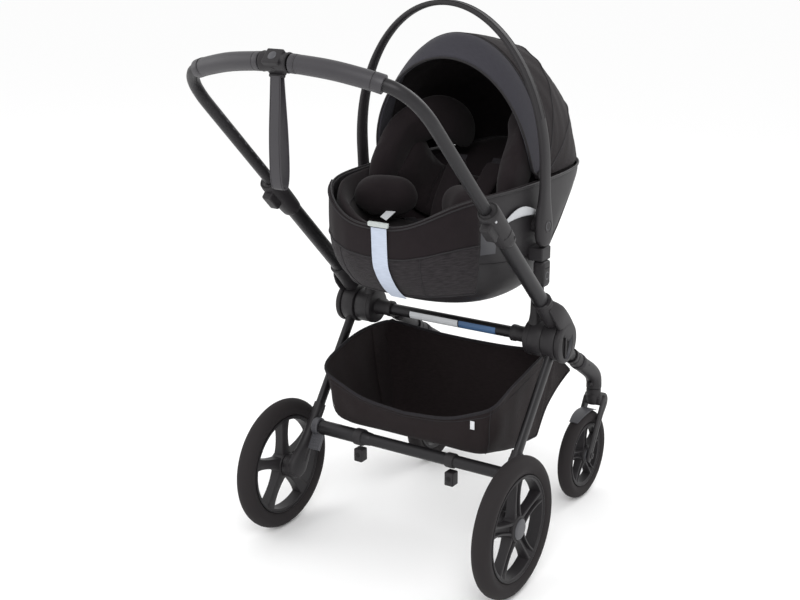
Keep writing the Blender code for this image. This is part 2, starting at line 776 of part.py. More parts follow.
def make_front_frame():
    for side, s in SIDES.items():
        out = (s, 0, 0)
        hub = Vector((0, HUB_Y, HUB_HEIGHT))
        core = turned(f"hub_core_{side}",
                      disc(CORE_DISC_RADIUS, HUB_INNER_FACE, CORE_OUTER_FACE, 0.005),
                      hub, out, "black_moulded_nylon", "stroller", DISC_SIDES)
        collar_inner = HUB_INNER_FACE - CROSS_COLLAR_LENGTH
        join(core, rod(f"{core.name}_collar", hub + Vector(out) * collar_inner,
                       hub + Vector(out) * (HUB_INNER_FACE + 0.004), CROSS_COLLAR_RADIUS,
                       "black_moulded_nylon", "stroller", TUBE_SIDES))
        post = [Vector((s * POST_OUT, HUB_Y, z)) for z in (HUB_HEIGHT + 0.020, HUB_HEIGHT + 0.052,
                                                          POST_TOP)]
        halves = [(0.0150, 0.0230), (0.0115, 0.0160), (0.0115, 0.0160)]
        join(core, swept(f"{core.name}_post", post, halves, (1, 0, 0), "black_moulded_nylon",
                         "stroller", 12, 2.6))
        cut(core, rod(f"{core.name}_tube_socket", hub + Vector(out) * (collar_inner - 0.01),
                      hub + Vector(out) * (HUB_INNER_FACE + 0.010), CROSS_TUBE_RADIUS + GRIP_FIT,
                      "black_moulded_nylon", "stroller", TUBE_SIDES))
        cut(core, rod(f"{core.name}_pin_hole", hub + Vector(out) * (HUB_INNER_FACE + 0.0135),
                      hub + Vector(out) * (CORE_OUTER_FACE + 0.01), HUB_PIN_RADIUS + GRIP_FIT,
                      "black_moulded_nylon", "stroller", PIN_SIDES))
        root, seam, _, _ = front_leg_path(s)
        along = (seam - root).normalized()
        leg_start = root + along * FRONT_LEG_START
        cut(core, rod(f"{core.name}_leg_socket", leg_start - along * 0.001, seam,
                      FRONT_LEG_RADIUS + GRIP_FIT, "black_moulded_nylon", "stroller",
                      TUBE_SIDES))
        smooth(core)
        pin_end = HUB_OUTER_FACE - RECESS_DEPTH - 0.0015
        rod(f"hub_pin_{side}", hub + Vector(out) * (HUB_INNER_FACE + 0.0140),
            hub + Vector(out) * pin_end, HUB_PIN_RADIUS, "bright_steel", "stroller", PIN_SIDES)
        leg_end = seam + along * 0.030
        rod(f"front_leg_{side}", leg_start, leg_end, FRONT_LEG_RADIUS,
            "black_anodised_aluminium", "stroller", TUBE_SIDES)
        make_elbow(side, s, seam, along, leg_end)
    collar = HUB_INNER_FACE + 0.0055
    rod("cross_tube", (-collar, HUB_Y, HUB_HEIGHT), (collar, HUB_Y, HUB_HEIGHT),
        CROSS_TUBE_RADIUS, "black_anodised_aluminium", "stroller", TUBE_SIDES)


def make_elbow(side, s, seam, along, leg_end):
    _, _, bend, foot = front_leg_path(s)
    guide = [seam, seam.lerp(bend, 0.55), bend + Vector((0, -0.010, 0.0075)),
             bend + Vector((0, 0.0125, -0.012)), foot]
    path = spline_points(guide, 10)[:-1] + [foot + Vector((0, 0, 0.006)), foot]
    halves = [(ELBOW_RADIUS * f, ELBOW_RADIUS * f) for f in
              (0.95, 1, 1, 1.02, 1.05, 1.06, 1.05, 1.03, 1.01, 1, 0.97)]
    elbow = swept(f"front_elbow_{side}", path, halves, (1, 0, 0), "black_moulded_nylon",
                  "stroller", 14, 2.0)
    cut(elbow, rod(f"{elbow.name}_leg_socket", seam - along * 0.01, leg_end + along * TOUCH,
                   FRONT_LEG_RADIUS + GRIP_FIT, "black_moulded_nylon", "stroller", TUBE_SIDES))
    cut(elbow, rod(f"{elbow.name}_stem_hole", foot - Vector((0, 0, 0.01)),
                   foot + Vector((0, 0, 0.031)), SWIVEL_STEM_RADIUS + RUNNING_FIT / 2,
                   "black_moulded_nylon", "stroller", PIN_SIDES))
    lock = lock_place(s)
    slot_size = (0.0108, 0.034, 0.0250)
    cut(elbow, box(f"{elbow.name}_lock_slot", lock + Vector((0, -0.003, 0)), slot_size,
                   "black_moulded_nylon", "stroller"))
    smooth(elbow)
    lever = box(f"swivel_lock_{side}", lock + Vector((0, -0.0005, -0.004)),
                (0.0100, 0.0100, 0.0160), "black_moulded_nylon", f"lock_slide_{side}", 0.001)
    join(lever, box(f"{lever.name}_tip", lock + Vector((0, -0.0075, -0.006)),
                    (0.0090, 0.0070, 0.0060), "black_moulded_nylon", f"lock_slide_{side}"))


def make_adapters():
    """Seat adapters: a block on each post, with a release button on its outer side."""
    for side, s in SIDES.items():
        middle = Vector((s * (ADAPTER_INNER + ADAPTER_OUTER) / 2, HUB_Y,
                         POST_TOP + ADAPTER_HEIGHT / 2 + TOUCH / 2))
        block = box(f"adapter_{side}", middle,
                    (ADAPTER_OUTER - ADAPTER_INNER, ADAPTER_DEPTH, ADAPTER_HEIGHT - TOUCH),
                    "black_moulded_nylon", "stroller", 0.006)
        place = adapter_button_place(s)
        cut(block, rod(f"{block.name}_button_hole", place - Vector((s * 0.0090, 0, 0)),
                       place + Vector((s * 0.01, 0, 0)), ADAPTER_BUTTON_RADIUS + RUNNING_FIT / 2,
                       "black_moulded_nylon", "stroller", TUBE_SIDES))
        smooth(block)
        button = [(0, 0.0006), (ADAPTER_BUTTON_RADIUS * 0.78, 0.0006),
                  (ADAPTER_BUTTON_RADIUS, -0.0016), (ADAPTER_BUTTON_RADIUS, -0.0060), (0, -0.0060)]
        turned(f"adapter_button_{side}", button, place, (s, 0, 0), "grey_moulded_nylon",
               f"adapter_press_{side}", TUBE_SIDES)


# Rear frame

def rear_leg_path(s):
    top = Vector((s * REAR_LEG_TOP_OUT, HUB_Y, HUB_HEIGHT))
    foot = Vector((s * REAR_LEG_FOOT_OUT, AXLE_Y, REAR_WHEEL_RADIUS))
    return top, foot


def make_rear_frame():
    for side, s in SIDES.items():
        out = Vector((s, 0, 0))
        hub = Vector((0, HUB_Y, HUB_HEIGHT))
        carrier = "rear_fold"
        leg = turned(f"rear_leg_{side}", disc(LEG_DISC_RADIUS, LEG_INNER_FACE, LEG_OUTER_FACE, 0.004),
                     hub, out, "black_anodised_aluminium", carrier, DISC_SIDES)
        top, foot = rear_leg_path(s)
        along = (foot - top).normalized()
        length = (foot - top).length
        reach = length - BOSS_LENGTH
        path = [top + along * d for d in (0.022, 0.050, reach)]
        halves = [(LEG_HALF_WIDTH, LEG_HALF_DEPTH)] * 3
        join(leg, swept(f"{leg.name}_tube", path, halves, (1, 0, 0), "black_anodised_aluminium",
                        carrier, 12, 2.3))
        cut(leg, rod(f"{leg.name}_pin_hole", hub + out * (LEG_INNER_FACE - 0.01),
                     hub + out * (LEG_OUTER_FACE + 0.01), HUB_PIN_RADIUS + GRIP_FIT,
                     "black_moulded_nylon", carrier, PIN_SIDES))
        smooth(leg)
        make_rear_boss(side, s, top + along * reach, along, foot)
    make_axle_tube()
    make_brake()


def make_rear_boss(side, s, leg_end, along, foot):
    """Moulded end of the rear leg: a sleeve that swells to a pod with the wheel's spindle."""
    carrier = "rear_fold"
    out = Vector((s, 0, 0))
    inner = REAR_WHEEL_OUT - REAR_BARREL_IN - TOUCH
    start = leg_end - along * BOSS_SLEEVE
    wide = LEG_HALF_WIDTH + BOSS_SLEEVE_WALL
    deep = LEG_HALF_DEPTH + BOSS_SLEEVE_WALL
    path = [start, leg_end, foot - along * 0.052, foot - along * 0.022 + out * 0.001,
            foot + along * 0.002 + out * 0.002, foot + along * 0.020 + out * 0.002]
    halves = [(wide, deep), (wide, deep), (wide, deep + 0.002), (wide + 0.0015, 0.025),
              (wide + 0.0025, 0.029), (0.010, 0.019)]
    boss = swept(f"rear_boss_{side}", path, halves, (1, 0, 0), "black_moulded_nylon",
                 carrier, 12, 2.3)
    hub = Vector((0, foot.y, foot.z))
    join(boss, turned(f"{boss.name}_pod", disc(BOSS_RADIUS, REAR_LEG_FOOT_OUT, inner, 0.004),
                      hub, out, "black_moulded_nylon", carrier, TUBE_SIDES))
    join(boss, rod(f"{boss.name}_spindle", hub + out * (inner - 0.004),
                   hub + out * (REAR_WHEEL_OUT + SPINDLE_PAST_MIDDLE - 0.002),
                   AXLE_PIN_RADIUS - RUNNING_FIT / 2, "bright_steel", carrier, PIN_SIDES))
    socket = [start - along * 0.010, leg_end + along * TOUCH]
    cut(boss, swept(f"{boss.name}_socket", socket,
                    [(LEG_HALF_WIDTH + GRIP_FIT, LEG_HALF_DEPTH + GRIP_FIT)] * 2, (1, 0, 0),
                    "black_moulded_nylon", carrier, 12, 2.3))
    smooth(boss)


def axle_tube_end(s):
    """Where the axle tube meets the rear leg's inner side."""
    top, foot = rear_leg_path(s)
    share = (HUB_HEIGHT - AXLE_TUBE_HEIGHT) / (HUB_HEIGHT - REAR_WHEEL_RADIUS)
    leg = top.lerp(foot, share)
    inner_face = LEG_HALF_WIDTH + BOSS_SLEEVE_WALL + TOUCH
    return Vector((leg.x - s * inner_face, AXLE_TUBE_Y, AXLE_TUBE_HEIGHT))


def make_axle_tube():
    """Cross tube of the rear frame, with a thicker sleeve over its left part."""
    left, right = axle_tube_end(-1), axle_tube_end(1)
    thin, thick = AXLE_TUBE_RADIUS, AXLE_SLEEVE_RADIUS
    low, high = BRAKE_RING_WIDTH + 0.003, AXLE_SLEEVE_LENGTH
    length = (right - left).length
    tube = turned("rear_axle_tube",
                  [(0, length), (thin, length), (thin, high), (thick, high - 0.010),
                   (thick, low + 0.003), (thin, low), (thin, 0), (0, 0)],
                  left, right - left, "black_anodised_aluminium", "rear_fold", TUBE_SIDES)
    smooth(tube)
    for side, s in SIDES.items():
        make_lug(side, s)


def make_lug(side, s):
    """Lug under the axle tube: a saddle under the tube and a foot with a cross hole."""
    carrier = "rear_fold"
    middle_z = AXLE_TUBE_HEIGHT - LUG_DROP / 2 - 0.006
    foot_z = AXLE_TUBE_HEIGHT - LUG_DROP - 0.012
    lug = box(f"axle_lug_{side}", (s * LUG_OUT, AXLE_TUBE_Y, (middle_z + foot_z) / 2 + 0.012),
              (2 * LUG_HALF_WIDTH, 0.024, LUG_DROP), "black_moulded_nylon", carrier, 0.0030)
    radius = AXLE_SLEEVE_RADIUS if s < 0 else AXLE_TUBE_RADIUS
    cut(lug, rod(f"{lug.name}_saddle", (s * LUG_OUT - 0.02, AXLE_TUBE_Y, AXLE_TUBE_HEIGHT),
                 (s * LUG_OUT + 0.02, AXLE_TUBE_Y, AXLE_TUBE_HEIGHT), radius + GRIP_FIT,
                 "black_moulded_nylon", carrier, TUBE_SIDES))
    cut(lug, rod(f"{lug.name}_hole", (s * LUG_OUT, AXLE_TUBE_Y - 0.02, foot_z + 0.016),
                 (s * LUG_OUT, AXLE_TUBE_Y + 0.02, foot_z + 0.016), 0.0048,
                 "black_moulded_nylon", carrier, PIN_SIDES))
    smooth(lug)


def make_brake():
    """Foot brake at the axle tube's left end: a ring round the tube and a ribbed pad."""
    carrier = "brake"
    place = brake_place()
    ring = turned("brake_pedal",
                  [(0, BRAKE_RING_WIDTH), (BRAKE_RING_RADIUS - 0.002, BRAKE_RING_WIDTH),
                   (BRAKE_RING_RADIUS, BRAKE_RING_WIDTH - 0.002), (BRAKE_RING_RADIUS, 0.002),
                   (BRAKE_RING_RADIUS - 0.002, 0), (0, 0)],
                  place, (1, 0, 0), "grey_moulded_nylon", carrier, TUBE_SIDES)
    hang = AXLE_SLEEVE_RADIUS + RUNNING_FIT + BRAKE_PAD[2] / 2
    middle = place + Vector((BRAKE_PAD[0] / 2, 0, 0)) + BRAKE_PAD_TURN @ Vector((0, 0, -hang))
    join(ring, box("brake_pad", middle, BRAKE_PAD, "grey_moulded_nylon", carrier, 0.0020,
                   BRAKE_PAD_TURN))
    for i in range(3):
        offset = BRAKE_PAD_TURN @ Vector((0, -BRAKE_PAD[1] / 2, -0.010 + 0.008 * i))
        join(ring, box(f"brake_pad_rib_{i}", middle + offset,
                       (BRAKE_PAD[0] * 0.78, 0.0030, 0.0028), "grey_moulded_nylon", carrier,
                       0.0, BRAKE_PAD_TURN))
    cut(ring, rod("brake_pedal_bore", place - Vector((0.01, 0, 0)),
                  place + Vector((BRAKE_RING_WIDTH + 0.02, 0, 0)),
                  (AXLE_TUBE_RADIUS + TOUCH) / math.cos(math.pi / TUBE_SIDES),
                  "grey_moulded_nylon", carrier, TUBE_SIDES))
    smooth(ring)


# Handle

def make_handle():
    for side, s in SIDES.items():
        out = Vector((s, 0, 0))
        hub = Vector((0, HUB_Y, HUB_HEIGHT))
        carrier = "handle_fold"
        cap = turned(f"handle_hub_{side}",
                     disc(OUTER_DISC_RADIUS, OUTER_INNER_FACE, HUB_OUTER_FACE, 0.005),
                     hub, out, "black_moulded_nylon", carrier, DISC_SIDES)
        arm_out = (OUTER_INNER_FACE + HUB_OUTER_FACE) / 2
        arm_half = OUTER_DISC_WIDTH / 2
        path = [on_handle(-0.006) + out * arm_out, on_handle(0.030) + out * arm_out,
                on_handle(0.070) + out * arm_out,
                on_handle(0.105) + out * (SLEEVE_OUT + SLEEVE_RADIUS - 0.004)]
        halves = [(arm_half, 0.0200), (arm_half, 0.0230), (arm_half, 0.0205), (0.0035, 0.0120)]
        join(cap, swept(f"{cap.name}_arm", path, halves, (1, 0, 0), "black_moulded_nylon",
                        carrier, 8, 2.6))
        path = [on_handle(d) + out * SLEEVE_OUT for d in (SLEEVE_START, 0.075, SLEEVE_TOP)]
        halves = [(SLEEVE_RADIUS, SLEEVE_RADIUS + extra) for extra in (0.0035, 0.0016, 0.001)]
        join(cap, swept(f"{cap.name}_sleeve", path, halves, (1, 0, 0), "black_moulded_nylon",
                        carrier, TUBE_SIDES))
        cut(cap, rod(f"{cap.name}_tube_socket", on_handle(0.045) + out * HANDLE_OUT,
                     on_handle(SLEEVE_TOP + 0.02) + out * HANDLE_OUT,
                     OUTER_TUBE_RADIUS + GRIP_FIT, "black_moulded_nylon", carrier, TUBE_SIDES))
        recess = [(x * RECESS_HALF_WIDTH, y * RECESS_HALF_HEIGHT) for x, y in ring_points(1.0, 14)]
        cut(cap, flat_piece(f"{cap.name}_recess", [recess], RECESS_DEPTH,
                            hub + out * HUB_OUTER_FACE + Vector((0, -0.001, -0.002)), out,
                            "black_moulded_nylon", carrier))
        cut(cap, rod(f"{cap.name}_pin_hole", hub + out * (OUTER_INNER_FACE - 0.01),
                     hub + out * (HUB_OUTER_FACE - RECESS_DEPTH - 0.0011),
                     HUB_PIN_RADIUS + GRIP_FIT, "black_moulded_nylon", carrier, PIN_SIDES))
        cut(cap, rod(f"{cap.name}_clearance", hub + out * (LEG_INNER_FACE - 0.01),
                     hub + out * OUTER_INNER_FACE, LEG_DISC_RADIUS + RUNNING_FIT,
                     "black_moulded_nylon", carrier, DISC_SIDES))
        smooth(cap)
        tube_low, tube_high = 0.0455, CLAMP_HIGH - 0.006
        outer = rod(f"outer_tube_{side}", on_handle(tube_low) + out * HANDLE_OUT,
                    on_handle(tube_high) + out * HANDLE_OUT, OUTER_TUBE_RADIUS,
                    "black_anodised_aluminium", carrier, TUBE_SIDES)
        cut(outer, rod(f"{outer.name}_bore", on_handle(tube_low + 0.004) + out * HANDLE_OUT,
                       on_handle(tube_high + 0.02) + out * HANDLE_OUT,
                       HANDLE_TUBE_RADIUS + SLIDE_FIT, "black_anodised_aluminium", carrier,
                       TUBE_SIDES))
        smooth(outer)
        make_clamp(side, s)
    make_bow()


def make_clamp(side, s):
    """Height clamp at the outer tube's top: a tapered housing with a latch body behind."""
    carrier = "handle_fold"
    out = Vector((s, 0, 0))
    length = CLAMP_HIGH - CLAMP_LOW
    path = [on_handle(CLAMP_LOW + length * f) + out * CLAMP_OUT for f in (0, 0.10, 0.55, 0.93, 1)]
    halves = [(CLAMP_RADIUS, 0.0182), (CLAMP_RADIUS, 0.0195), (CLAMP_RADIUS, 0.0215),
              (CLAMP_RADIUS, 0.0215), (CLAMP_RADIUS, 0.0195)]
    clamp = swept(f"height_clamp_{side}", path, halves, (1, 0, 0), "black_moulded_nylon",
                  carrier, TUBE_SIDES)
    latch_middle = on_handle(CLAMP_LOW + 0.66 * length, -0.024) + out * CLAMP_OUT
    lean = Matrix.Rotation(-(math.pi / 2 - HANDLE_LEAN), 4, "X").inverted()
    join(clamp, box(f"{clamp.name}_latch", latch_middle, (0.0220, 0.0200, 0.0420),
                    "black_moulded_nylon", carrier, 0.005, lean))
    cut(clamp, rod(f"{clamp.name}_bore", on_handle(CLAMP_LOW - 0.01) + out * HANDLE_OUT,
                   on_handle(CLAMP_HIGH - 0.006 + TOUCH) + out * HANDLE_OUT,
                   OUTER_TUBE_RADIUS + GRIP_FIT, "black_moulded_nylon", carrier, TUBE_SIDES))
    cut(clamp, rod(f"{clamp.name}_mouth", on_handle(CLAMP_HIGH - 0.010) + out * HANDLE_OUT,
                   on_handle(CLAMP_HIGH + 0.01) + out * HANDLE_OUT,
                   HANDLE_TUBE_RADIUS + SLIDE_FIT, "black_moulded_nylon", carrier, TUBE_SIDES))
    smooth(clamp)


def bow_point(x, along):
    return on_handle(along) + Vector((x, 0, 0))


def bow_guide():
    """Half of the handle bow, from the end inside the right tube to its middle."""
    crown = HANDLE_LENGTH
    shoulder = crown - 0.039
    return [
        (HANDLE_OUT, BEND_START), (HANDLE_OUT - 0.0010, BEND_START + 0.030),
        (HANDLE_OUT - 0.0075, BEND_START + 0.066), (HANDLE_OUT - 0.0225, shoulder - 0.020),
        (GRIP_HALF_SPAN, shoulder), (GRIP_HALF_SPAN * 0.62, crown - 0.014),
        (GRIP_HALF_SPAN * 0.30, crown - 0.0035), (0, crown),
    ]


def bow_middle_line(count):
    """The bow's centre line from right to left, without its straight ends."""
    half = [bow_point(x, a) for x, a in bow_guide()]
    other = [Vector((-p.x, p.y, p.z)) for p in reversed(half[:-1])]
    return spline_points(half + other, count)


def make_bow():
    carrier = "handle_height"
    line = bow_middle_line(33)
    ends = [bow_point(HANDLE_OUT, INNER_TUBE_END), bow_point(-HANDLE_OUT, INNER_TUBE_END)]
    as_mesh(pipe("handle_bow", [ends[0], *line, ends[1]], HANDLE_TUBE_RADIUS,
                 "black_anodised_aluminium", carrier, 3))
    dense = bow_middle_line(65)
    gap = CLASP_WIDTH / 2 + GRIP_END_GAP
    for side, s in SIDES.items():
        run = [p for p in dense if gap <= s * p.x <= GRIP_HALF_SPAN]
        run.sort(key=lambda p: s * p.x)
        first = Vector((s * gap, run[0].y, run[0].z)) if run[0].x * s > gap + 0.001 else run[0]
        if first is not run[0]:
            slope = (run[1] - run[0]) / (run[1].x - run[0].x)
            first = run[0] + slope * (s * gap - run[0].x)
            run.insert(0, first)
        run = run[::2] if len(run) % 2 else run[::2] + [run[-1]]
        grip = as_mesh(pipe(f"handle_grip_{side}", run, GRIP_RADIUS, "black_leatherette",
                            carrier, 4))
        stretch = [run[0] - (run[1] - run[0]), *run, run[-1] + (run[-1] - run[-2])]
        cut(grip, as_mesh(pipe(f"{grip.name}_bore", stretch,
                               HANDLE_TUBE_RADIUS + GRIP_BORE_FIT, "black_leatherette",
                               carrier, 3)))
    make_clasp()


def make_clasp():
    """Grip clasp: a collar over the bow's middle with a square plate, a button and a strap."""
    carrier = "handle_height"
    middle = on_handle(HANDLE_LENGTH)
    half = CLASP_WIDTH / 2
    path = [middle + Vector((x * half, 0, 0)) for x in (-1, -0.9, 0, 0.9, 1)]
    radius = GRIP_RADIUS + 0.0008
    thin = radius - 0.0012
    halves = [(thin, thin), (radius, radius), (radius, radius), (radius, radius), (thin, thin)]
    clasp = swept("grip_clasp", path, halves, (0, 0, 1), "black_moulded_nylon", carrier,
                  TUBE_SIDES)
    lean = Matrix.Rotation(math.pi / 2 - HANDLE_LEAN, 4, "X")
    join(clasp, box("grip_clasp_plate", middle, (CLASP_PLATE, CLASP_DEPTH, CLASP_PLATE),
                    "black_moulded_nylon", carrier, CLASP_ROUND, lean))
    loop = strap_root()
    reach = Vector((STRAP_HALF_WIDTH + 0.003, 0, 0))
    join(clasp, rod("grip_clasp_bar", loop - reach, loop + reach, STRAP_BAR_RADIUS,
                    "black_moulded_nylon", carrier, PIN_SIDES))
    join(clasp, box("grip_clasp_neck", loop + Vector((0, 0, 0.005)),
                    (2 * reach.x, 0.0030, 0.010), "black_moulded_nylon", carrier))
    sag = Vector((0, 0, -0.0004))
    cut(clasp, rod("grip_clasp_bore", middle + sag - Vector((half * 1.4, 0, 0)),
                   middle + sag + Vector((half * 1.4, 0, 0)),
                   HANDLE_TUBE_RADIUS + GRIP_BORE_FIT * 1.6, "black_moulded_nylon", carrier,
                   TUBE_SIDES))
    top = clasp_button_place()
    recess = CLASP_PLATE / 2 - HANDLE_TUBE_RADIUS - 0.0012
    cut(clasp, rod("grip_clasp_button_hole", top - HANDLE_DIRECTION * (recess - 0.001),
                   top + HANDLE_DIRECTION * 0.02, CLASP_BUTTON_RADIUS + SLIDE_FIT,
                   "black_moulded_nylon", carrier, TUBE_SIDES))
    smooth(clasp)
    turned("clasp_button", [(0, 0.0016), (0.0062, 0.0012), (CLASP_BUTTON_RADIUS, -0.0004),
                            (CLASP_BUTTON_RADIUS, -0.0018), (0, -0.0018)],
           top, HANDLE_DIRECTION, "grey_moulded_nylon", "clasp_press", TUBE_SIDES)
    make_wrist_strap()


def make_wrist_strap():
    """Webbing loop: one strand down in front, a turn at the bottom and one strand up behind."""
    top = strap_root()
    drop = STRAP_DROP
    side = STRAP_BAR_RADIUS + STRAP_HALF_THICKNESS + TOUCH
    guide = [(-side, 0), (-0.0065, -0.030), (-0.0115, -0.100), (-0.0120, -0.160),
             (-0.0080, -drop + 0.006), (0, -drop), (0.0080, -drop + 0.006),
             (0.0120, -0.160), (0.0110, -0.100), (0.0063, -0.030), (side, 0)]
    path = spline_points([top + Vector((0, y, z)) for y, z in guide], 19)
    halves = [(STRAP_HALF_WIDTH, STRAP_HALF_THICKNESS)] * len(path)
    swept("wrist_strap", path, halves, (1, 0, 0), "black_leatherette", "wrist_strap_swing",
          8, 5.0)


# Storage basket

def make_basket():
    """Fabric tub slung between the legs: a sloping rim, a floor and leaning walls."""
    rim = [(0.000, 0.048, 0.310), (0.100, 0.048, 0.320), (0.165, 0.049, 0.341),
           (0.203, 0.054, 0.360), (0.218, 0.078, 0.378), (0.219, 0.130, 0.394),
           (0.217, 0.200, 0.408), (0.210, 0.268, 0.412), (0.190, 0.306, 0.408),
           (0.100, 0.312, 0.400), (0.000, 0.312, 0.398)]
    floor = [(0.000, 0.064, 0.2465), (0.090, 0.064, 0.2465), (0.150, 0.065, 0.2465),
             (0.182, 0.076, 0.2450), (0.188, 0.125, 0.2350), (0.188, 0.180, 0.2215),
             (0.186, 0.235, 0.2080), (0.176, 0.268, 0.1990), (0.150, 0.285, 0.1950),
             (0.080, 0.289, 0.1940), (0.000, 0.290, 0.1940)]

    def ring(share, belly):
        half = []
        for top, low in zip(rim, floor):
            mix = [t + (b - t) * share for t, b in zip(top, low)]
            middle = Vector((0, 0.19, mix[2]))
            place = Vector(mix)
            half.append(middle + (place - middle) * belly)
        half = [Vector((p.x, AXLE_Y + p.y, p.z)) for p in half]
        return half + [Vector((-p.x, p.y, p.z)) for p in reversed(half[1:-1])]

    rings = [ring(0, 1), ring(0.30, 1.01), ring(0.60, 1.03), ring(0.85, 1.03), ring(0.97, 0.99),
             ring(1, 0.88), ring(1, 0.45)]

    def build(work):
        rows = bridge(work, rings, close_ends=False)
        middle = work.verts.new(sum(rings[-1], Vector()) / len(rings[-1]))
        last = rows[-1]
        for i, corner in enumerate(last):
            work.faces.new((corner, last[(i + 1) % len(last)], middle))

    basket = add("storage_basket", mesh_from("storage_basket", build), "dark_basket_fabric",
                 "stroller")
    wall = basket.modifiers.new("wall", "SOLIDIFY")
    wall.thickness = BASKET_WALL
    wall.offset = -1
    for side, s in SIDES.items():
        join(basket, make_basket_wing(side, s))
    smooth(basket, 60)


def make_basket_wing(side, s):
    """Side panel of the basket: it hangs under the front leg, with a hollow front edge."""
    low_edge = [(0.240, 0.2150), (0.318, 0.2030), (0.325, 0.2220), (0.335, 0.2480),
                (0.350, 0.2700), (0.383, 0.2930), (0.452, 0.3180)]
    _, _, bend, _ = front_leg_path(s)
    root = front_leg_path(s)[0]
    drop = (root.z - bend.z) / (bend.y - root.y)
    under = (ELBOW_RADIUS + 0.0018) * math.hypot(1, drop)
    rows = []
    for j in range(3):
        row = []
        for y, low in low_edge:
            high = min(0.4075, root.z - drop * (AXLE_Y + y - root.y) - under)
            z = low + (high - low) * j / 2
            x = 0.1745 + 0.163 * (z - 0.205) - 0.06 * (y - 0.268)
            row.append(Vector((s * x, AXLE_Y + y, z)))
        rows.append(row)
    wing = add(f"storage_basket_wing_{side}",
               mesh_from(f"storage_basket_wing_{side}", lambda w: bridge(w, rows, False, False)),
               "dark_basket_fabric", "stroller")
    wall = wing.modifiers.new("wall", "SOLIDIFY")
    wall.thickness = BASKET_WALL * 0.7
    wall.offset = 0
    return wing


# Infant seat

def plan(turn, inset=0.0):
    """The seat shell's outline from above, moved in by an inset."""
    c, s = math.cos(turn), math.sin(turn)
    power = 2 / SEAT_CORNER
    return Vector(((SEAT_HALF_WIDTH - inset) * math.copysign(abs(c) ** power, c),
                   (SEAT_HALF_LENGTH - inset) * math.copysign(abs(s) ** power, s)))


def seat_floor(y):
    """Height of the shell's underside: rockers in the middle and a steep rise to the head end."""
    forward = y - AXLE_Y
    back = max(0.0, forward - BACK_START) / BACK_RUN
    rise = BACK_RISE * (1 - math.exp(-back ** 2))
    return SEAT_FLOOR + SEAT_ROCK * (forward - SEAT_ROCK_MIDDLE) ** 2 + rise


def rim_height(turn):
    return RIM_HEIGHT - RIM_DIP * max(0.0, -math.sin(turn)) ** 6


def shell_side(turn, u):
    """A point on the shell's outer side: u is 1 on the rim and 0 in the middle of the floor."""
    flat = plan(turn) * u
    y = SEAT_Y + flat.y
    rim = rim_height(turn)
    drop = (1 - u ** SEAT_WALL) ** (1 / SEAT_WALL_SQUARE)
    return Vector((flat.x, y, rim - (rim - seat_floor(y)) * drop))


def shell_point(turn, u, inset=0.0):
    """A point that lies an inset inside the shell's outer side, square to it."""
    place = shell_side(turn, u)
    step = 0.002
    along = shell_side(turn + step, u) - shell_side(turn - step, u)
    inward = along.cross(shell_side(turn, u - step) - place).normalized()
    if inward.dot(Vector((0, SEAT_Y, RIM_HEIGHT)) - place) < 0:
        inward.negate()
    return place + inward * inset


def around(count, start=0.0):
    return [start + 2 * math.pi * i / count for i in range(count)]


def capped(work, rings, first=False, last=True):
    """Bridge rings and close one or both ends with a fan to the middle."""
    rows = bridge(work, rings, close_ends=False)
    for wanted, row, ring in ((first, rows[0], rings[0]), (last, rows[-1], rings[-1])):
        if wanted:
            middle = work.verts.new(sum(ring, Vector()) / len(ring))
            for i, corner in enumerate(row):
                work.faces.new((corner, row[(i + 1) % len(row)], middle))


def make_shell():
    turns = around(SEAT_SIDES, math.pi / SEAT_SIDES)
    rings = [[shell_point(t, u) for t in turns] for u in (1, *SHELL_STEPS)]
    shell = add("seat_shell", mesh_from("seat_shell", lambda w: capped(w, rings)),
                "black_moulded_nylon", "seat_lift")
    wall = shell.modifiers.new("wall", "SOLIDIFY")
    wall.thickness = SHELL_WALL
    wall.offset = -1
    for side, s in SIDES.items():
        block_low, block_high = ADAPTER_TOP + TOUCH, ADAPTER_TOP + RECEIVER_HEIGHT
        inner, outer = RECEIVER_INNER, RECEIVER_OUTER
        join(shell, box(f"seat_receiver_{side}",
                        (s * (inner + outer) / 2, HUB_Y, (block_low + block_high) / 2),
                        (outer - inner, RECEIVER_DEPTH, block_high - block_low), "black_moulded_nylon",
                        "seat_lift"))
        join(shell, rod(f"seat_pivot_{side}", (s * (SEAT_HALF_WIDTH - 0.0050), PIVOT_Y, CARRY_PIVOT_HEIGHT),
                        (s * (carry_inner_face() - TOUCH), PIVOT_Y, CARRY_PIVOT_HEIGHT),
                        0.016, "black_moulded_nylon", "seat_lift", TUBE_SIDES))
    smooth(shell)


def carry_inner_face():
    return CARRY_HALF_WIDTH + CARRY_THICKNESS / 2 - CARRY_BOSS_THICKNESS


def make_foot_cover():
    """Fabric that wraps the shell's foot end, from the rim to a low seam."""
    count, gap = 15, COVER_GAP
    turns = [-math.pi / 2 + FOOT_COVER_SPREAD * (2 * i / (count - 1) - 1) for i in range(count)]
    rings = []
    for u in (1, *SHELL_STEPS[:3], 0):
        row = []
        for turn in turns:
            low = FOOT_COVER_LOW + 0.085 * (1 - abs(math.sin(turn)))
            row.append(shell_point(turn, max(u, low), -gap))
        rings.append(row)
    cover = add("foot_cover", mesh_from("foot_cover", lambda w: bridge(w, rings, False, False)),
                "black_seat_fabric", "seat_lift")
    lie_outwards(cover)
    wall = cover.modifiers.new("cloth", "SOLIDIFY")
    wall.thickness = FOOT_COVER_THICKNESS
    wall.offset = 1
    smooth(cover, 60)


def lie_outwards(thing):
    """Turn an open sheet's faces away from the seat's middle."""
    work = bmesh.new()
    work.from_mesh(thing.data)
    middle = Vector((0, SEAT_Y, 0.70))
    total = sum(f.normal.dot(f.calc_center_median() - middle) for f in work.faces)
    if total < 0:
        bmesh.ops.reverse_faces(work, faces=work.faces)
    work.to_mesh(thing.data)
    work.free()


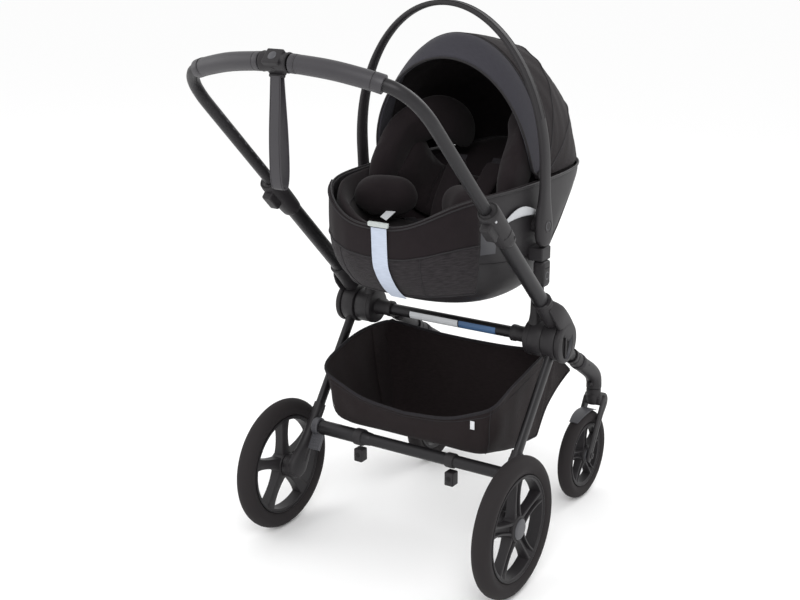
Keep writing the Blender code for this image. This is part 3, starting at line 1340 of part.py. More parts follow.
def liner_floor(y):
    """Height of the seat pad's hollow: level under the legs, then up the backrest."""
    forward = y - AXLE_Y
    back = max(0.0, forward - 0.215)
    front = max(0.0, 0.06 - forward)
    return LINER_FLOOR + 0.86 * back ** 1.08 + 0.6 * front


def liner_rim(turn):
    return rim_height(turn) - 0.004 + HEAD_RISE * max(0.0, math.sin(turn)) ** 4


def liner_top(x, y):
    """Height of the seat pad's upper side at a place."""
    inset = SHELL_WALL + LINER_ROLL
    a, b = SEAT_HALF_WIDTH - inset, SEAT_HALF_LENGTH - inset
    u = ((abs(x) / a) ** SEAT_CORNER + (abs(y - SEAT_Y) / b) ** SEAT_CORNER) ** (1 / SEAT_CORNER)
    turn = math.atan2((y - SEAT_Y) / b, x / a)
    low = liner_floor(y)
    return low + (liner_rim(turn) - low) * min(u, 1) ** LINER_WALL


def liner_rings(lift):
    """Rings of the seat pad from its underside over the rolled rim into the hollow."""
    turns = around(SEAT_SIDES, math.pi / SEAT_SIDES)[::-1]
    gap = SHELL_WALL + LINER_GAP
    rings = []
    for u in reversed(SHELL_STEPS):
        ease = LINER_EASE if u < SHELL_STEPS[1] else 0
        rings.append([shell_point(t, u, gap + ease * max(0.0, math.sin(t))) for t in turns])
    for share, height in ((0.25, 0.80), (0.7, 1.0)):
        ring = []
        for t in turns:
            flat = plan(t, gap + (LINER_ROLL - gap) * share)
            low = shell_point(t, SHELL_STEPS[0], gap).z
            top = liner_rim(t) + 0.003
            ring.append(Vector((flat.x, SEAT_Y + flat.y, low + (top - low) * height + lift)))
        rings.append(ring)
    for u in (0.985, 0.92, 0.80, 0.60, 0.36, 0.14):
        ring = []
        for t in turns:
            flat = plan(t, SHELL_WALL + LINER_ROLL) * u
            x, y = flat.x, SEAT_Y + flat.y
            ring.append(Vector((x, y, liner_top(x, y) + lift)))
        rings.append(ring)
    return rings


def make_liner():
    """Padded seat liner: it fills the shell, rolls over inside the rim and climbs the back."""
    rings = liner_rings(0)
    liner = add("seat_liner", mesh_from("seat_liner", lambda w: capped(w, rings, True, True), True),
                "black_seat_fabric", "seat_lift")
    smooth(liner, 60)


def make_insert():
    """Newborn cushion: two side lobes with a valley between them, bedded in the liner."""
    stations, across = 9, 9
    rings = []
    for j in range(stations):
        along = math.cos(math.pi * (0.06 + 0.88 * j / (stations - 1)))
        y = AXLE_Y + INSERT_MIDDLE_FORWARD - INSERT_HALF_LENGTH * along
        half = INSERT_HALF_WIDTH * (1 - abs(along) ** 3.2) ** 0.4
        crown = INSERT_HEIGHT * (1 - along ** 4) ** 0.6
        top, under = [], []
        for i in range(across):
            share = math.sin(math.pi / 2 * (2 * i / (across - 1) - 1))
            x = half * share
            valley = 1 - INSERT_VALLEY * math.exp(-(x / INSERT_VALLEY_WIDTH) ** 2)
            swell = max(0.0, 1 - share ** 4) ** 0.5
            top.append(Vector((x, y, liner_top(x, y) + 0.008 + crown * valley * swell)))
            if 0 < i < across - 1 and i % 2 == 0:
                under.append(Vector((x, y, liner_top(x, y) - 0.012)))
        rings.append(top + under[::-1])
    insert = add("newborn_insert", mesh_from("newborn_insert", lambda w: bridge(w, rings)),
                 "black_seat_fabric", "seat_lift")
    bed = liner_rings(LINER_GAP / 2)
    cut(insert, add("newborn_insert_bed", mesh_from("newborn_insert_bed",
                                                    lambda w: capped(w, bed, True, True), True),
                    "black_seat_fabric", "seat_lift"))
    smooth(insert, 60)


def make_headrest():
    """Head support: a thick band across the backrest whose ends stand up as two wings."""
    lean = HEADREST_LEAN
    up_the_back = Vector((0, math.cos(lean), math.sin(lean)))
    off_the_back = Vector((0, -math.sin(lean), math.cos(lean)))
    y = AXLE_Y + HEADREST_FORWARD
    base = Vector((0, y, liner_floor(y) - 0.0014))
    half = [(0.124, 0.162), (0.131, 0.120), (0.126, 0.074), (0.104, 0.038), (0.056, 0.021),
            (0, HEADREST_HALF_THICKNESS + 0.003)]
    right = [base + Vector((x, 0, 0)) + off_the_back * n for x, n in half]
    left = [Vector((-p.x, p.y, p.z)) for p in reversed(right[:-1])]
    path = spline_points(right + left, 15)
    halves = []
    for i in range(len(path)):
        grow = (0.62, 0.90, 1)[min(i, len(path) - 1 - i, 2)]
        halves.append((0.072 * (0.86 + 0.14 * grow), HEADREST_HALF_THICKNESS * grow))
    swept("headrest", path, halves, up_the_back, "black_seat_fabric", "seat_lift", 12, 2.6)


def make_buckle():
    place = buckle_place()
    tilt = Matrix.Rotation(math.radians(-14), 4, "X")
    buckle = box("harness_buckle", place, (0.040, 0.052, 0.016), "black_moulded_nylon",
                 "seat_lift", 0.005, tilt)
    cut(buckle, box("harness_buckle_window", place + Vector((0, -0.006, 0.0065)),
                    (0.0245, 0.0225, 0.016), "black_moulded_nylon", "seat_lift", 0.0, tilt))
    smooth(buckle)
    button = box("buckle_button", place + Vector((0, -0.006, 0.0054)), (0.0235, 0.0215, 0.0080),
                 "red_plastic", "buckle_press", 0.0018, tilt)
    smooth(button)


def make_pull_strap():
    """Pale webbing from a clip on the foot end's rim, down over the cover and under the shell."""
    gap = COVER_GAP + FOOT_COVER_THICKNESS + STRAP_GAP
    spots = [(0.020, 1.0), (0.022, 0.990), (0.027, 0.965), (0.032, 0.935), (0.034, 0.91),
             (0.036, 0.84), (0.036, 0.74)]
    path = []
    for turn, u in spots:
        path.append(shell_point(-math.pi / 2 + turn, u, -gap))
    path = spline_points(path, 11)
    halves = [(PULL_STRAP_WIDTH / 2, 0.0008)] * len(path)
    swept("pull_strap", path, halves, (1, 0, 0), "pale_webbing", "seat_lift", 8, 5.0)
    top = path[0]
    clip = box("strap_clip", (top.x, top.y - 0.0020, top.z + CLIP_HEIGHT / 2 + 0.0018),
               (PULL_STRAP_WIDTH + 0.010, 0.0080, CLIP_HEIGHT), "clear_grey_clip", "seat_lift",
               0.0024)
    smooth(clip)


def carry_lean(z):
    return PIVOT_Y - CARRY_LEAN * (z - CARRY_PIVOT_HEIGHT)


def make_carry_handle():
    """Carry handle: an arch whose arms swell to egg-shaped bosses on the pivots."""
    boss_x = CARRY_HALF_WIDTH + CARRY_THICKNESS / 2 - CARRY_BOSS_THICKNESS / 2
    z0 = CARRY_PIVOT_HEIGHT
    boss = CARRY_BOSS_RADIUS
    half_boss = CARRY_BOSS_THICKNESS / 2
    stations = [
        (boss_x, z0 - boss * 1.38, 0.30 * boss, half_boss * 0.72),
        (boss_x, z0 - boss * 1.22, 0.66 * boss, half_boss * 0.92),
        (boss_x, z0 - boss * 0.84, 0.91 * boss, half_boss),
        (boss_x, z0, boss, half_boss),
        (boss_x, z0 + boss, 0.82 * boss, half_boss),
        (CARRY_HALF_WIDTH - 0.0015, z0 + boss * 1.7, 0.66 * boss, 0.0086),
        (CARRY_HALF_WIDTH, z0 + boss * 2.7, 0.0175, CARRY_THICKNESS / 2),
    ]
    right = [(Vector((x, carry_lean(z), z)), (w, t)) for x, z, w, t in stations]
    arch = []
    count = 12
    for i in range(count + 1):
        turn = math.pi * i / count
        rise = math.sin(turn)
        z = CARRY_ARCH_BASE + CARRY_ARCH_RISE * rise
        place = Vector((CARRY_HALF_WIDTH * math.cos(turn), carry_lean(z), z))
        arch.append((place, (0.0172 - 0.0050 * rise, CARRY_THICKNESS / 2 - 0.0022 * rise)))
    left = [(Vector((-p.x, p.y, p.z)), h) for p, h in reversed(right)]
    whole = right + arch + left
    handle = swept("carry_handle", [p for p, _ in whole], [h for _, h in whole], (0, 1, 0),
                   "black_moulded_nylon", "carry_turn", 12, 2.4)
    for side, s in SIDES.items():
        place = carry_button_place(s)
        cut(handle, rod(f"carry_handle_button_hole_{side}", place - Vector((s * 0.0075, 0, 0)),
                        place + Vector((s * 0.01, 0, 0)), CARRY_BUTTON_RADIUS + SLIDE_FIT,
                        "black_moulded_nylon", "carry_turn", TUBE_SIDES))
        profile = [(0, -0.0004), (CARRY_BUTTON_RADIUS, -0.0008),
                   (CARRY_BUTTON_RADIUS, -0.0045), (0, -0.0045)]
        turned(f"carry_button_{side}", profile, place, (s, 0, 0), "grey_moulded_nylon",
               f"carry_press_{side}", TUBE_SIDES)
    smooth(handle)


def canopy_arc(turn, half_width, rise, y_edge, base, y_back=0.0, square=2.0):
    """A point on a canopy hoop: half_width across, rise up and y_back to the rear at its top."""
    c, s = math.cos(turn), max(0.0, math.sin(turn))
    power = 2 / square
    return Vector((half_width * math.copysign(abs(c) ** power, c),
                   CANOPY_Y + y_edge + y_back * s ** power, base + rise * s ** power))


def brim_edge(turn):
    """How far the brim's outer edge lies behind the pivot's height line."""
    s = max(0.0, math.sin(turn))
    return 0.007 + 0.010 * min(1, 6 * s) * abs(math.cos(turn)) - 0.011 * s


def make_brim():
    """Stiff front of the canopy: a curved band that narrows to a knuckle on each side."""
    turns = [math.pi * i / HOOP_SIDES for i in range(HOOP_SIDES + 1)]
    rows = []
    for share in (0, 0.33, 0.67, 1):
        row = []
        for t in turns:
            s = max(0.0, math.sin(t))
            inner = -0.007 - 0.051 * s ** 0.35
            y_edge = inner + (brim_edge(t) - inner) * share
            swell = 1 - (1 - share) ** 2
            rise = BRIM_INNER_RISE + (BRIM_OUTER_RISE - BRIM_INNER_RISE) * swell
            width = CANOPY_HALF_WIDTH - 0.004 * (1 - share)
            row.append(canopy_arc(t, width, rise, y_edge, CANOPY_PIVOT_HEIGHT))
        rows.append(row)
    brim = add("canopy_brim", mesh_from("canopy_brim", lambda w: bridge(w, rows, False, False)),
               "grey_brim_fabric", "canopy_turn")
    lie_outwards(brim)
    wall = brim.modifiers.new("thickness", "SOLIDIFY")
    wall.thickness = BRIM_THICKNESS
    wall.offset = -1
    for side, s in SIDES.items():
        x = CANOPY_HALF_WIDTH
        join(brim, rod(f"canopy_knuckle_{side}",
                       (s * (x - 0.009), CANOPY_Y, CANOPY_PIVOT_HEIGHT),
                       (s * (x + 0.001), CANOPY_Y, CANOPY_PIVOT_HEIGHT), CANOPY_KNUCKLE_RADIUS,
                       "black_moulded_nylon", "canopy_turn", PIN_SIDES))
    smooth(brim, 50)


def make_dome():
    """Canopy cloth from the brim back to the head end of the shell, drawn in between hoops."""
    turns = [math.pi * i / HOOP_SIDES for i in range(HOOP_SIDES + 1)]
    rows = []
    steps = 8
    for i in range(steps + 1):
        share = i / steps
        back = math.radians(90 * share)
        reach = BRIM_OUTER_RISE + (DOME_BACK_REACH - BRIM_OUTER_RISE) * share
        reach -= 0.006 * abs(math.sin(3 * math.pi * share))
        base = CANOPY_PIVOT_HEIGHT + 0.0006 + (DOME_BASE - CANOPY_PIVOT_HEIGHT) * share
        foot = DOME_START + DOME_FOOT_SPREAD * share
        depth = reach * math.sin(back) - DOME_FOOT_SPREAD * share
        width = CANOPY_HALF_WIDTH - 0.003 * min(1, 3 * share)
        row = []
        for t in turns:
            seam = brim_edge(t) + SEAM_GAP if 0 < t < math.pi - 0.01 else DOME_START
            y_edge = foot + (seam - DOME_START) * (1 - share) ** 2
            row.append(canopy_arc(t, width, reach * math.cos(back), y_edge, base, depth,
                                  2 + 0.7 * share))
        rows.append(row)
    dome = add("canopy_dome", mesh_from("canopy_dome", lambda w: bridge(w, rows, False, False)),
               "black_seat_fabric", "seat_lift")
    lie_outwards(dome)
    wall = dome.modifiers.new("cloth", "SOLIDIFY")
    wall.thickness = DOME_THICKNESS
    wall.offset = -1
    smooth(dome, 60)


def make_seat():
    make_shell()
    make_foot_cover()
    make_liner()
    make_insert()
    make_headrest()
    make_buckle()
    make_pull_strap()
    make_carry_handle()
    make_brim()
    make_dome()


def main():
    make_pivots()
    make_wheels()
    make_casters()
    make_front_frame()
    make_adapters()
    make_rear_frame()
    make_handle()
    make_basket()
    make_seat()


main()
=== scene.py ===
"""Looks of a travel system stroller: finishes, fine surfaces, padding, stage and camera.

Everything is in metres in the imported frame: +Z up, +Y the way it is pushed, +X its right side.
"""
import json
import math

import bmesh
import bpy
from bpy.props import FloatProperty, FloatVectorProperty, PointerProperty
from mathutils import Matrix, Vector


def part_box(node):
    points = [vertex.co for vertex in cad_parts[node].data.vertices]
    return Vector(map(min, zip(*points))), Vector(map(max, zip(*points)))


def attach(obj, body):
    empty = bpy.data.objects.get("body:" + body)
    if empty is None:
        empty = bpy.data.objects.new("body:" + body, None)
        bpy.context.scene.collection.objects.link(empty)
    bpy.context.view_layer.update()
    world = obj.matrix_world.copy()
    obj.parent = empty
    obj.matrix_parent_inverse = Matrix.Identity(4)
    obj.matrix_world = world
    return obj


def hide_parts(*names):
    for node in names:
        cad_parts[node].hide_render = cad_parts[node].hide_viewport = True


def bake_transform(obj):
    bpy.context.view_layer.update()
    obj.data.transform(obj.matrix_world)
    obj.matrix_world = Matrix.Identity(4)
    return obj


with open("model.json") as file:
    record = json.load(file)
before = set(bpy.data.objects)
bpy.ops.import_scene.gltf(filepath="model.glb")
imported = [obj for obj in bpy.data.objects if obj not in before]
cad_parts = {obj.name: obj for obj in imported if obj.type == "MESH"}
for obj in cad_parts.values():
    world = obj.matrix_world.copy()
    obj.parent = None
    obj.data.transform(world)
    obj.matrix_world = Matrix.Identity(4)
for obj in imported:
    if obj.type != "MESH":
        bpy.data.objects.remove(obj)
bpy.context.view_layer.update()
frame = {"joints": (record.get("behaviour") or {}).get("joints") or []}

bl_info = {
    "name": "Travel System Stroller",
    "version": (1, 0, 0),
    "blender": (4, 5, 0),
    "location": "3D View > Sidebar > Stroller",
    "description": "Builds the looks of a travel system stroller round its packed frame",
    "category": "Object",
}

SIDES = {"left": -1, "right": 1}
UP = Vector((0, 0, 1))
OPEN = (False, False)
PIPING_ACROSS = (0.31, 0.17, 0.93)
JOINTS = {joint["name"]: joint for joint in frame["joints"]}

# Places read from the frame
REAR_LOW, REAR_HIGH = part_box("rear_tyre_right")
REAR_AXLE = (REAR_LOW + REAR_HIGH) / 2
REAR_RADIUS = (REAR_HIGH.z - REAR_LOW.z) / 2
REAR_WIDTH = REAR_HIGH.x - REAR_LOW.x
FRONT_LOW, FRONT_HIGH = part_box("front_tyre_right")
FRONT_AXLE = (FRONT_LOW + FRONT_HIGH) / 2
FRONT_RADIUS = (FRONT_HIGH.z - FRONT_LOW.z) / 2
FRONT_WIDTH = FRONT_HIGH.x - FRONT_LOW.x
AXLE_Y = REAR_AXLE.y
HUB = Vector(JOINTS["handle_fold"]["pos_m"])
SWIVEL = Vector(JOINTS["caster_turn_right"]["pos_m"])
CARRY_PIVOT = Vector(JOINTS["carry_turn"]["pos_m"])
CANOPY_PIVOT = Vector(JOINTS["canopy_turn"]["pos_m"])
STRAP_ROOT = Vector(JOINTS["wrist_strap_swing"]["pos_m"])
HANDLE_DIRECTION = Vector(JOINTS["handle_height"]["axis"]).normalized()
HANDLE_LEAN = math.atan2(HANDLE_DIRECTION.z, -HANDLE_DIRECTION.y)

# Real sizes of the pieces, in metres
REAR_TYRE_DEPTH = 0.036
FRONT_TYRE_DEPTH = 0.029
SPOKES = 5
CORE_DISC_RADIUS = 0.0380
LEG_DISC_RADIUS = 0.0420
OUTER_DISC_RADIUS = 0.0440
HUB_INNER_FACE = 0.1905
CORE_OUTER_FACE = HUB_INNER_FACE + 0.0435
LEG_OUTER_FACE = CORE_OUTER_FACE + 0.0325
HUB_OUTER_FACE = LEG_OUTER_FACE + 0.0127
RECESS_DEPTH = 0.0070
CROSS_TUBE_RADIUS = 0.0125
HANDLE_AHEAD_OF_HUB = 0.0257
HANDLE_OUT = 0.2485
HANDLE_TUBE_RADIUS = 0.0118
OUTER_TUBE_RADIUS = 0.0158
SLEEVE_RADIUS = 0.0190
SLEEVE_TOP = 0.120
CLAMP_LOW = 0.345
CLAMP_HIGH = 0.447
HANDLE_LENGTH = 0.845
BEND_START = 0.690
GRIP_HALF_SPAN = 0.200
GRIP_RADIUS = 0.0168
CLASP_WIDTH = 0.058
AXLE_TUBE = Vector((0, AXLE_Y + 0.052, 0.2285))
AXLE_TUBE_RADIUS = 0.0130
AXLE_SLEEVE_RADIUS = 0.0155
REAR_LEG_TOP_OUT = 0.2505
REAR_LEG_FOOT_OUT = 0.2465
FRONT_LEG_OUT = 0.2080
FRONT_LEG_RADIUS = 0.0135
ELBOW_RADIUS = 0.0172
POST_OUT = 0.2060
POST_TOP = 0.575
ADAPTER_TOP = POST_TOP + 0.054
SEAT_Y = AXLE_Y + 0.2645
SEAT_HALF_LENGTH = 0.3165
SEAT_HALF_WIDTH = 0.1985
SEAT_CORNER = 2.8
SEAT_FLOOR = 0.528
SEAT_ROCK = 0.55
SEAT_ROCK_MIDDLE = 0.25
SEAT_WALL = 3.6
SEAT_WALL_SQUARE = 4
BACK_START = 0.280
BACK_RUN = 0.111
BACK_RISE = 0.175
RIM_HEIGHT = 0.7885
RIM_DIP = 0.058
SHELL_SKIN = 0.0036
SEAT_MIDDLE = Vector((0, SEAT_Y, 0.7))
SHELL_WALL = 0.004
LINER_GAP = 0.0014
LINER_FLOOR = 0.588
LINER_ROLL = 0.020
LINER_WALL = 4.5
HEAD_RISE = 0.030
CARRY_HALF_WIDTH = 0.2210
CARRY_THICKNESS = 0.0150
CARRY_BOSS_THICKNESS = 0.0225
CARRY_BOSS_RADIUS = 0.0310
CARRY_LEAN = 0.075
CARRY_ARCH_BASE = 0.830
CARRY_ARCH_RISE = 0.309
CANOPY_HALF_WIDTH = 0.192
BRIM_INNER_RISE = 0.230
BRIM_OUTER_RISE = 0.276
DOME_BACK_REACH = 0.306
DOME_FOOT_SPREAD = 0.030
FOOT_SPREAD = math.radians(54)
COVER_LOW = 0.815
COVER_OFF = 0.0058
STRAP_OFF = 0.0095
BASKET_MIDDLE = 0.19
BASKET_CLOTH = 0.0022
PANEL_CLOTH = 0.0018
COVER_CLOTH = 0.0030
BRIM_CLOTH = 0.0050
DOME_CLOTH = 0.0022

# The pads' filling
FILL_FRAMES = 20
FILL_PRESSURE = 4.0

# The photograph's view, found from the wheels, tubes and their symmetry
VIEW_AZIMUTH = math.radians(33.08)
VIEW_ELEVATION = math.radians(16.84)
VIEW_DISTANCE = 2.67
VIEW_TARGET = Vector((0, AXLE_Y + 0.0331, 0.5599))
VIEW_FOCAL_PIXELS = 1319.4
PHOTO_WIDTH = 800
SENSOR_WIDTH = 36.0


def linear(code):
    """An sRGB hex colour as linear values."""
    parts = [int(code[i:i + 2], 16) / 255 for i in (0, 2, 4)]
    return tuple(c / 12.92 if c <= 0.04045 else ((c + 0.055) / 1.055) ** 2.4 for c in parts)


def colour(label, code, about):
    """A colour of the panel's, from an sRGB hex code."""
    return FloatVectorProperty(name=label, description=about, subtype="COLOR", size=3,
                               min=0.0, max=1.0, default=linear(code))


class StrollerFinishes(bpy.types.PropertyGroup):
    tube: colour("Tubes", "252426", "Black anodised aluminium of the frame's tubes")
    moulding: colour("Mouldings", "211f21", "Black nylon of the hubs, elbows, forks and shell")
    trim: colour("Trim", "404044", "Grey nylon of the buttons, caps and recess rims")
    tyre: colour("Tyres", "242122", "Foam rubber of the four tyres")
    grip: colour("Grips", "2c2a2e", "Imitation leather of the grips and wrist strap")
    seat_cloth: colour("Seat cloth", "1e191b", "Knitted cover of the seat pads")
    melange: colour("Melange band", "2a2729", "Two-tone weave round the foot end")
    basket_cloth: colour("Basket cloth", "201a1b", "Plain polyester of the basket")
    brim_cloth: colour("Canopy brim", "38373d", "Smooth grey cloth of the canopy's brim")
    dome_cloth: colour("Canopy dome", "1c1719", "Thin black cloth behind the brim")
    webbing: colour("Pull strap", "b4bccb", "Pale flat webbing at the foot end")


class StrollerSizes(bpy.types.PropertyGroup):
    voxel: FloatProperty(name="Pad detail", description="Voxel size of the padded pieces",
                         default=0.005, min=0.003, max=0.01, unit="LENGTH", precision=4)
    swell: FloatProperty(name="Pad swell", description="How far the filling may push the cloth out",
                         default=0.007, min=0.0, max=0.02, unit="LENGTH", precision=4)
    piping: FloatProperty(name="Piping", description="Radius of the corded seams",
                          default=0.0017, min=0.0005, max=0.004, unit="LENGTH", precision=4)


def finishes():
    """The colours set in the panel."""
    return bpy.context.scene.stroller_finishes


def sizes():
    """The sizes set in the panel."""
    return bpy.context.scene.stroller_sizes


# Materials

def add_node(tree, kind, inputs=None, feeds=None, **settings):
    """Add a node; an input is a value or the socket that feeds it, and it may feed a socket."""
    made = tree.nodes.new(kind)
    for name, value in settings.items():
        setattr(made, name, value)
    for name, value in (inputs or {}).items():
        if isinstance(value, bpy.types.NodeSocket):
            tree.links.new(value, made.inputs[name])
        else:
            made.inputs[name].default_value = value
    if feeds is not None:
        tree.links.new(made.outputs[0], feeds)
    return made


def surface(name, base, roughness, **settings):
    """A material with its colour and plain values set on the shader's own sockets."""
    made = bpy.data.materials.new(name)
    made.use_nodes = True
    made.diffuse_color = (*base, 1)
    shader = made.node_tree.nodes["Principled BSDF"]
    shader.inputs["Base Color"].default_value = (*base, 1)
    shader.inputs["Roughness"].default_value = roughness
    for socket, value in settings.items():
        shader.inputs[socket.replace("_", " ")].default_value = value
    return made, made.node_tree, shader


def object_scale(tree, per_metre):
    """Object coordinates, scaled so that one pattern cell is 1 / per_metre long."""
    place = add_node(tree, "ShaderNodeTexCoord")
    return add_node(tree, "ShaderNodeMapping", {"Vector": place.outputs["Object"],
                                                "Scale": (per_metre,) * 3}).outputs[0]


def cloth_scale(tree, across, along):
    """Cloth coordinates in metres from the UV map, scaled by thread counts per metre."""
    place = add_node(tree, "ShaderNodeTexCoord")
    return add_node(tree, "ShaderNodeMapping", {"Vector": place.outputs["UV"],
                                                "Scale": (across, along, 1)}).outputs[0]


def mottled(tree, shader, where, base, spread, scale):
    """Vary the colour a little over a surface, as dye and handling do."""
    noise = add_node(tree, "ShaderNodeTexNoise", {"Vector": where, "Scale": scale, "Detail": 4.0})
    dark = tuple(c * (1 - spread) for c in base)
    light = tuple(min(1.0, c * (1 + spread)) for c in base)
    mix = add_node(tree, "ShaderNodeMix", {"Factor": noise.outputs["Fac"]}, data_type="RGBA")
    mix.inputs[6].default_value = (*dark, 1)
    mix.inputs[7].default_value = (*light, 1)
    tree.links.new(mix.outputs[2], shader.inputs["Base Color"])
    return noise.outputs["Fac"]


def anodised_aluminium():
    """Bead-blasted and black anodised tube: satin, with a faint grain that breaks the highlight."""
    base = tuple(finishes().tube)
    made, tree, shader = surface("anodised_aluminium", base, 0.42, Metallic=0.55)
    blasted = add_node(tree, "ShaderNodeTexNoise", {"Vector": object_scale(tree, 1 / 0.0008),
                                                    "Scale": 1.0, "Detail": 2.0})
    wear = mottled(tree, shader, object_scale(tree, 1), base, 0.10, 24.0)
    add_node(tree, "ShaderNodeMapRange", {"Value": wear, "To Min": 0.36, "To Max": 0.50},
             shader.inputs["Roughness"])
    add_node(tree, "ShaderNodeBump", {"Height": blasted.outputs["Fac"], "Distance": 0.00003,
                                      "Strength": 0.5}, shader.inputs["Normal"])
    return made


def grained(name, base, rough, pitch, spread, clouds, span, depth, strength, feature="F1",
            **settings):
    """A moulded finish: a fine grain of cells, and a cloud that varies its colour and gloss."""
    made, tree, shader = surface(name, base, rough, **settings)
    grain = add_node(tree, "ShaderNodeTexVoronoi", {"Vector": object_scale(tree, 1 / pitch),
                                                    "Scale": 1.0}, feature=feature)
    cloud = mottled(tree, shader, object_scale(tree, 1), base, spread, clouds)
    add_node(tree, "ShaderNodeMapRange", {"Value": cloud, "To Min": span[0], "To Max": span[1]},
             shader.inputs["Roughness"])
    add_node(tree, "ShaderNodeBump", {"Height": grain.outputs["Distance"], "Distance": depth,
                                      "Strength": strength}, shader.inputs["Normal"])
    return made


def knitted(name, base, pitch, depth=0.00022):
    """Fine knit: rows of stitches from two noise fields, drawn at twice their real pitch."""
    made, tree, shader = surface(name, base, 0.92, Sheen_Weight=0.06, Specular_IOR_Level=0.12)
    stitch = add_node(tree, "ShaderNodeTexVoronoi", {"Vector": object_scale(tree, 1 / pitch),
                                                     "Scale": 1.0}, feature="SMOOTH_F1")
    slub = add_node(tree, "ShaderNodeTexNoise", {"Vector": object_scale(tree, 1),
                                                 "Scale": 90.0, "Detail": 5.0})
    mottled(tree, shader, object_scale(tree, 1), base, 0.15, 55.0)
    both = add_node(tree, "ShaderNodeMath", {0: stitch.outputs["Distance"], 1: 0.65,
                                             2: slub.outputs["Fac"]}, operation="MULTIPLY_ADD")
    add_node(tree, "ShaderNodeBump", {"Height": both.outputs[0], "Distance": depth,
                                      "Strength": 0.7}, shader.inputs["Normal"])
    return made


def woven(name, base, threads, contrast, depth=0.00025, rough=0.88):
    """Plain weave: two crossed wave patterns on the cloth's own coordinates, threads per metre."""
    made, tree, shader = surface(name, base, rough, Sheen_Weight=0.05, Specular_IOR_Level=0.12)
    where = cloth_scale(tree, threads, threads)
    turn = 2 * math.pi
    split = add_node(tree, "ShaderNodeSeparateXYZ", {"Vector": where})
    waves = []
    for axis in (0, 1):
        phase = add_node(tree, "ShaderNodeMath", {0: split.outputs[axis], 1: turn},
                         operation="MULTIPLY")
        waves.append(add_node(tree, "ShaderNodeMath", {0: phase.outputs[0]}, operation="SINE"))
    weave = add_node(tree, "ShaderNodeMath", {0: waves[0].outputs[0], 1: waves[1].outputs[0]},
                     operation="MULTIPLY")
    slub = add_node(tree, "ShaderNodeTexNoise", {
        "Vector": cloth_scale(tree, threads * 0.12, threads * 0.8), "Scale": 1.0, "Detail": 3.0})
    spread = add_node(tree, "ShaderNodeMapRange", {
        "Value": slub.outputs["Fac"], "From Min": 0.35, "From Max": 0.65})
    mix = add_node(tree, "ShaderNodeMix", {"Factor": spread.outputs[0]}, data_type="RGBA")
    mix.inputs[6].default_value = (*(c * (1 - contrast) for c in base), 1)
    mix.inputs[7].default_value = (*(min(1.0, c * (1 + contrast)) for c in base), 1)
    tree.links.new(mix.outputs[2], shader.inputs["Base Color"])
    add_node(tree, "ShaderNodeBump", {"Height": weave.outputs[0], "Distance": depth,
                                      "Strength": 0.6}, shader.inputs["Normal"])
    return made


def plain(name, code, roughness, **settings):
    """Small trim of one moulded or printed colour, or of painted shade in a hollow, with a slight
    cloud so it isn't dead flat.
    """
    base = linear(code)
    made, tree, shader = surface(name, base, roughness, **settings)
    mottled(tree, shader, object_scale(tree, 1), base, 0.05, 60.0)
    return made


def steel():
    """Turned steel pin: bright, with fine rings."""
    made, tree, shader = surface("turned_steel", linear("b5b5b8"), 0.28, Metallic=1.0)
    rings = add_node(tree, "ShaderNodeTexNoise", {"Vector": object_scale(tree, 1 / 0.0006),
                                                  "Scale": 1.0})
    add_node(tree, "ShaderNodeMapRange", {"Value": rings.outputs["Fac"], "To Min": 0.22,
                                          "To Max": 0.36}, shader.inputs["Roughness"])
    return made


MADE = {}


def finish(name):
    """The material of that name, made once."""
    makers = {
        "tube": anodised_aluminium,
        # Glass-filled nylon from a spark-eroded mould: even and fine, dull in its hollows
        "nylon": lambda: grained("moulded_nylon", tuple(finishes().moulding), 0.5, 0.0012, 0.09,
                                 18.0, (0.44, 0.60), 0.00006, 0.45, Specular_IOR_Level=0.3),
        # The same in grey, a little smoother where fingers press it
        "grey": lambda: grained("grey_nylon", tuple(finishes().trim), 0.45, 0.0010, 0.06, 30.0,
                                (0.38, 0.52), 0.00004, 0.35),
        # Foam-filled rubber tread: matt, with open pores and a dusty bloom
        "tyre": lambda: grained("foam_rubber", tuple(finishes().tyre), 0.8, 0.0016, 0.16, 14.0,
                                (0.68, 0.9), 0.00010, 0.5, Specular_IOR_Level=0.2),
        # Coated fabric with a pebbled grain of about 1.5 mm, stitched tight over foam
        "leatherette": lambda: grained("leatherette", tuple(finishes().grip), 0.48, 0.0015, 0.10,
                                       28.0, (0.40, 0.56), 0.00022, 0.6, "SMOOTH_F1",
                                       Coat_Weight=0.06, Coat_Roughness=0.4),
        "knit": lambda: knitted("seat_knit", tuple(finishes().seat_cloth), 0.0014),
        "dome": lambda: woven("canopy_cloth", tuple(finishes().dome_cloth), 520, 0.10, 0.00012),
        "melange": lambda: woven("melange_weave", tuple(finishes().melange), 480, 0.32, 0.0003),
        "basket": lambda: woven("basket_polyester", tuple(finishes().basket_cloth), 560, 0.14),
        "brim": lambda: woven("brim_cloth", tuple(finishes().brim_cloth), 700, 0.05, 0.00010, 0.7),
        "webbing": lambda: woven("pale_webbing", tuple(finishes().webbing), 420, 0.05, 0.0002, 0.6),
        "belt": lambda: woven("belt_webbing", linear("232124"), 420, 0.15, 0.0003, 0.7),
        "thread": lambda: plain("piping_cord", "171417", 0.8),
        "clip": lambda: plain("clear_grey_clip", "c4cac8", 0.18, Transmission_Weight=0.25),
        "pale": lambda: plain("pale_nylon", "b3b5b8", 0.35),
        "label": lambda: plain("blank_label", "c9cbce", 0.55),
        "blue_label": lambda: plain("blank_blue_label", "3f5f86", 0.55),
        "red": lambda: plain("red_plastic", "6d1b20", 0.35),
        # Near-black: the real colour of seam rings, lines and dots, and painted shade in the hub's
        # recess floor, the clamp's mouth and dimple and the lugs' holes
        "dark": lambda: plain("dark_marks_and_painted_hollow_shade", "0d0c0d", 0.9),
        "steel": steel,
    }
    if name not in MADE:
        MADE[name] = makers[name]()
    return MADE[name]


# Shapes

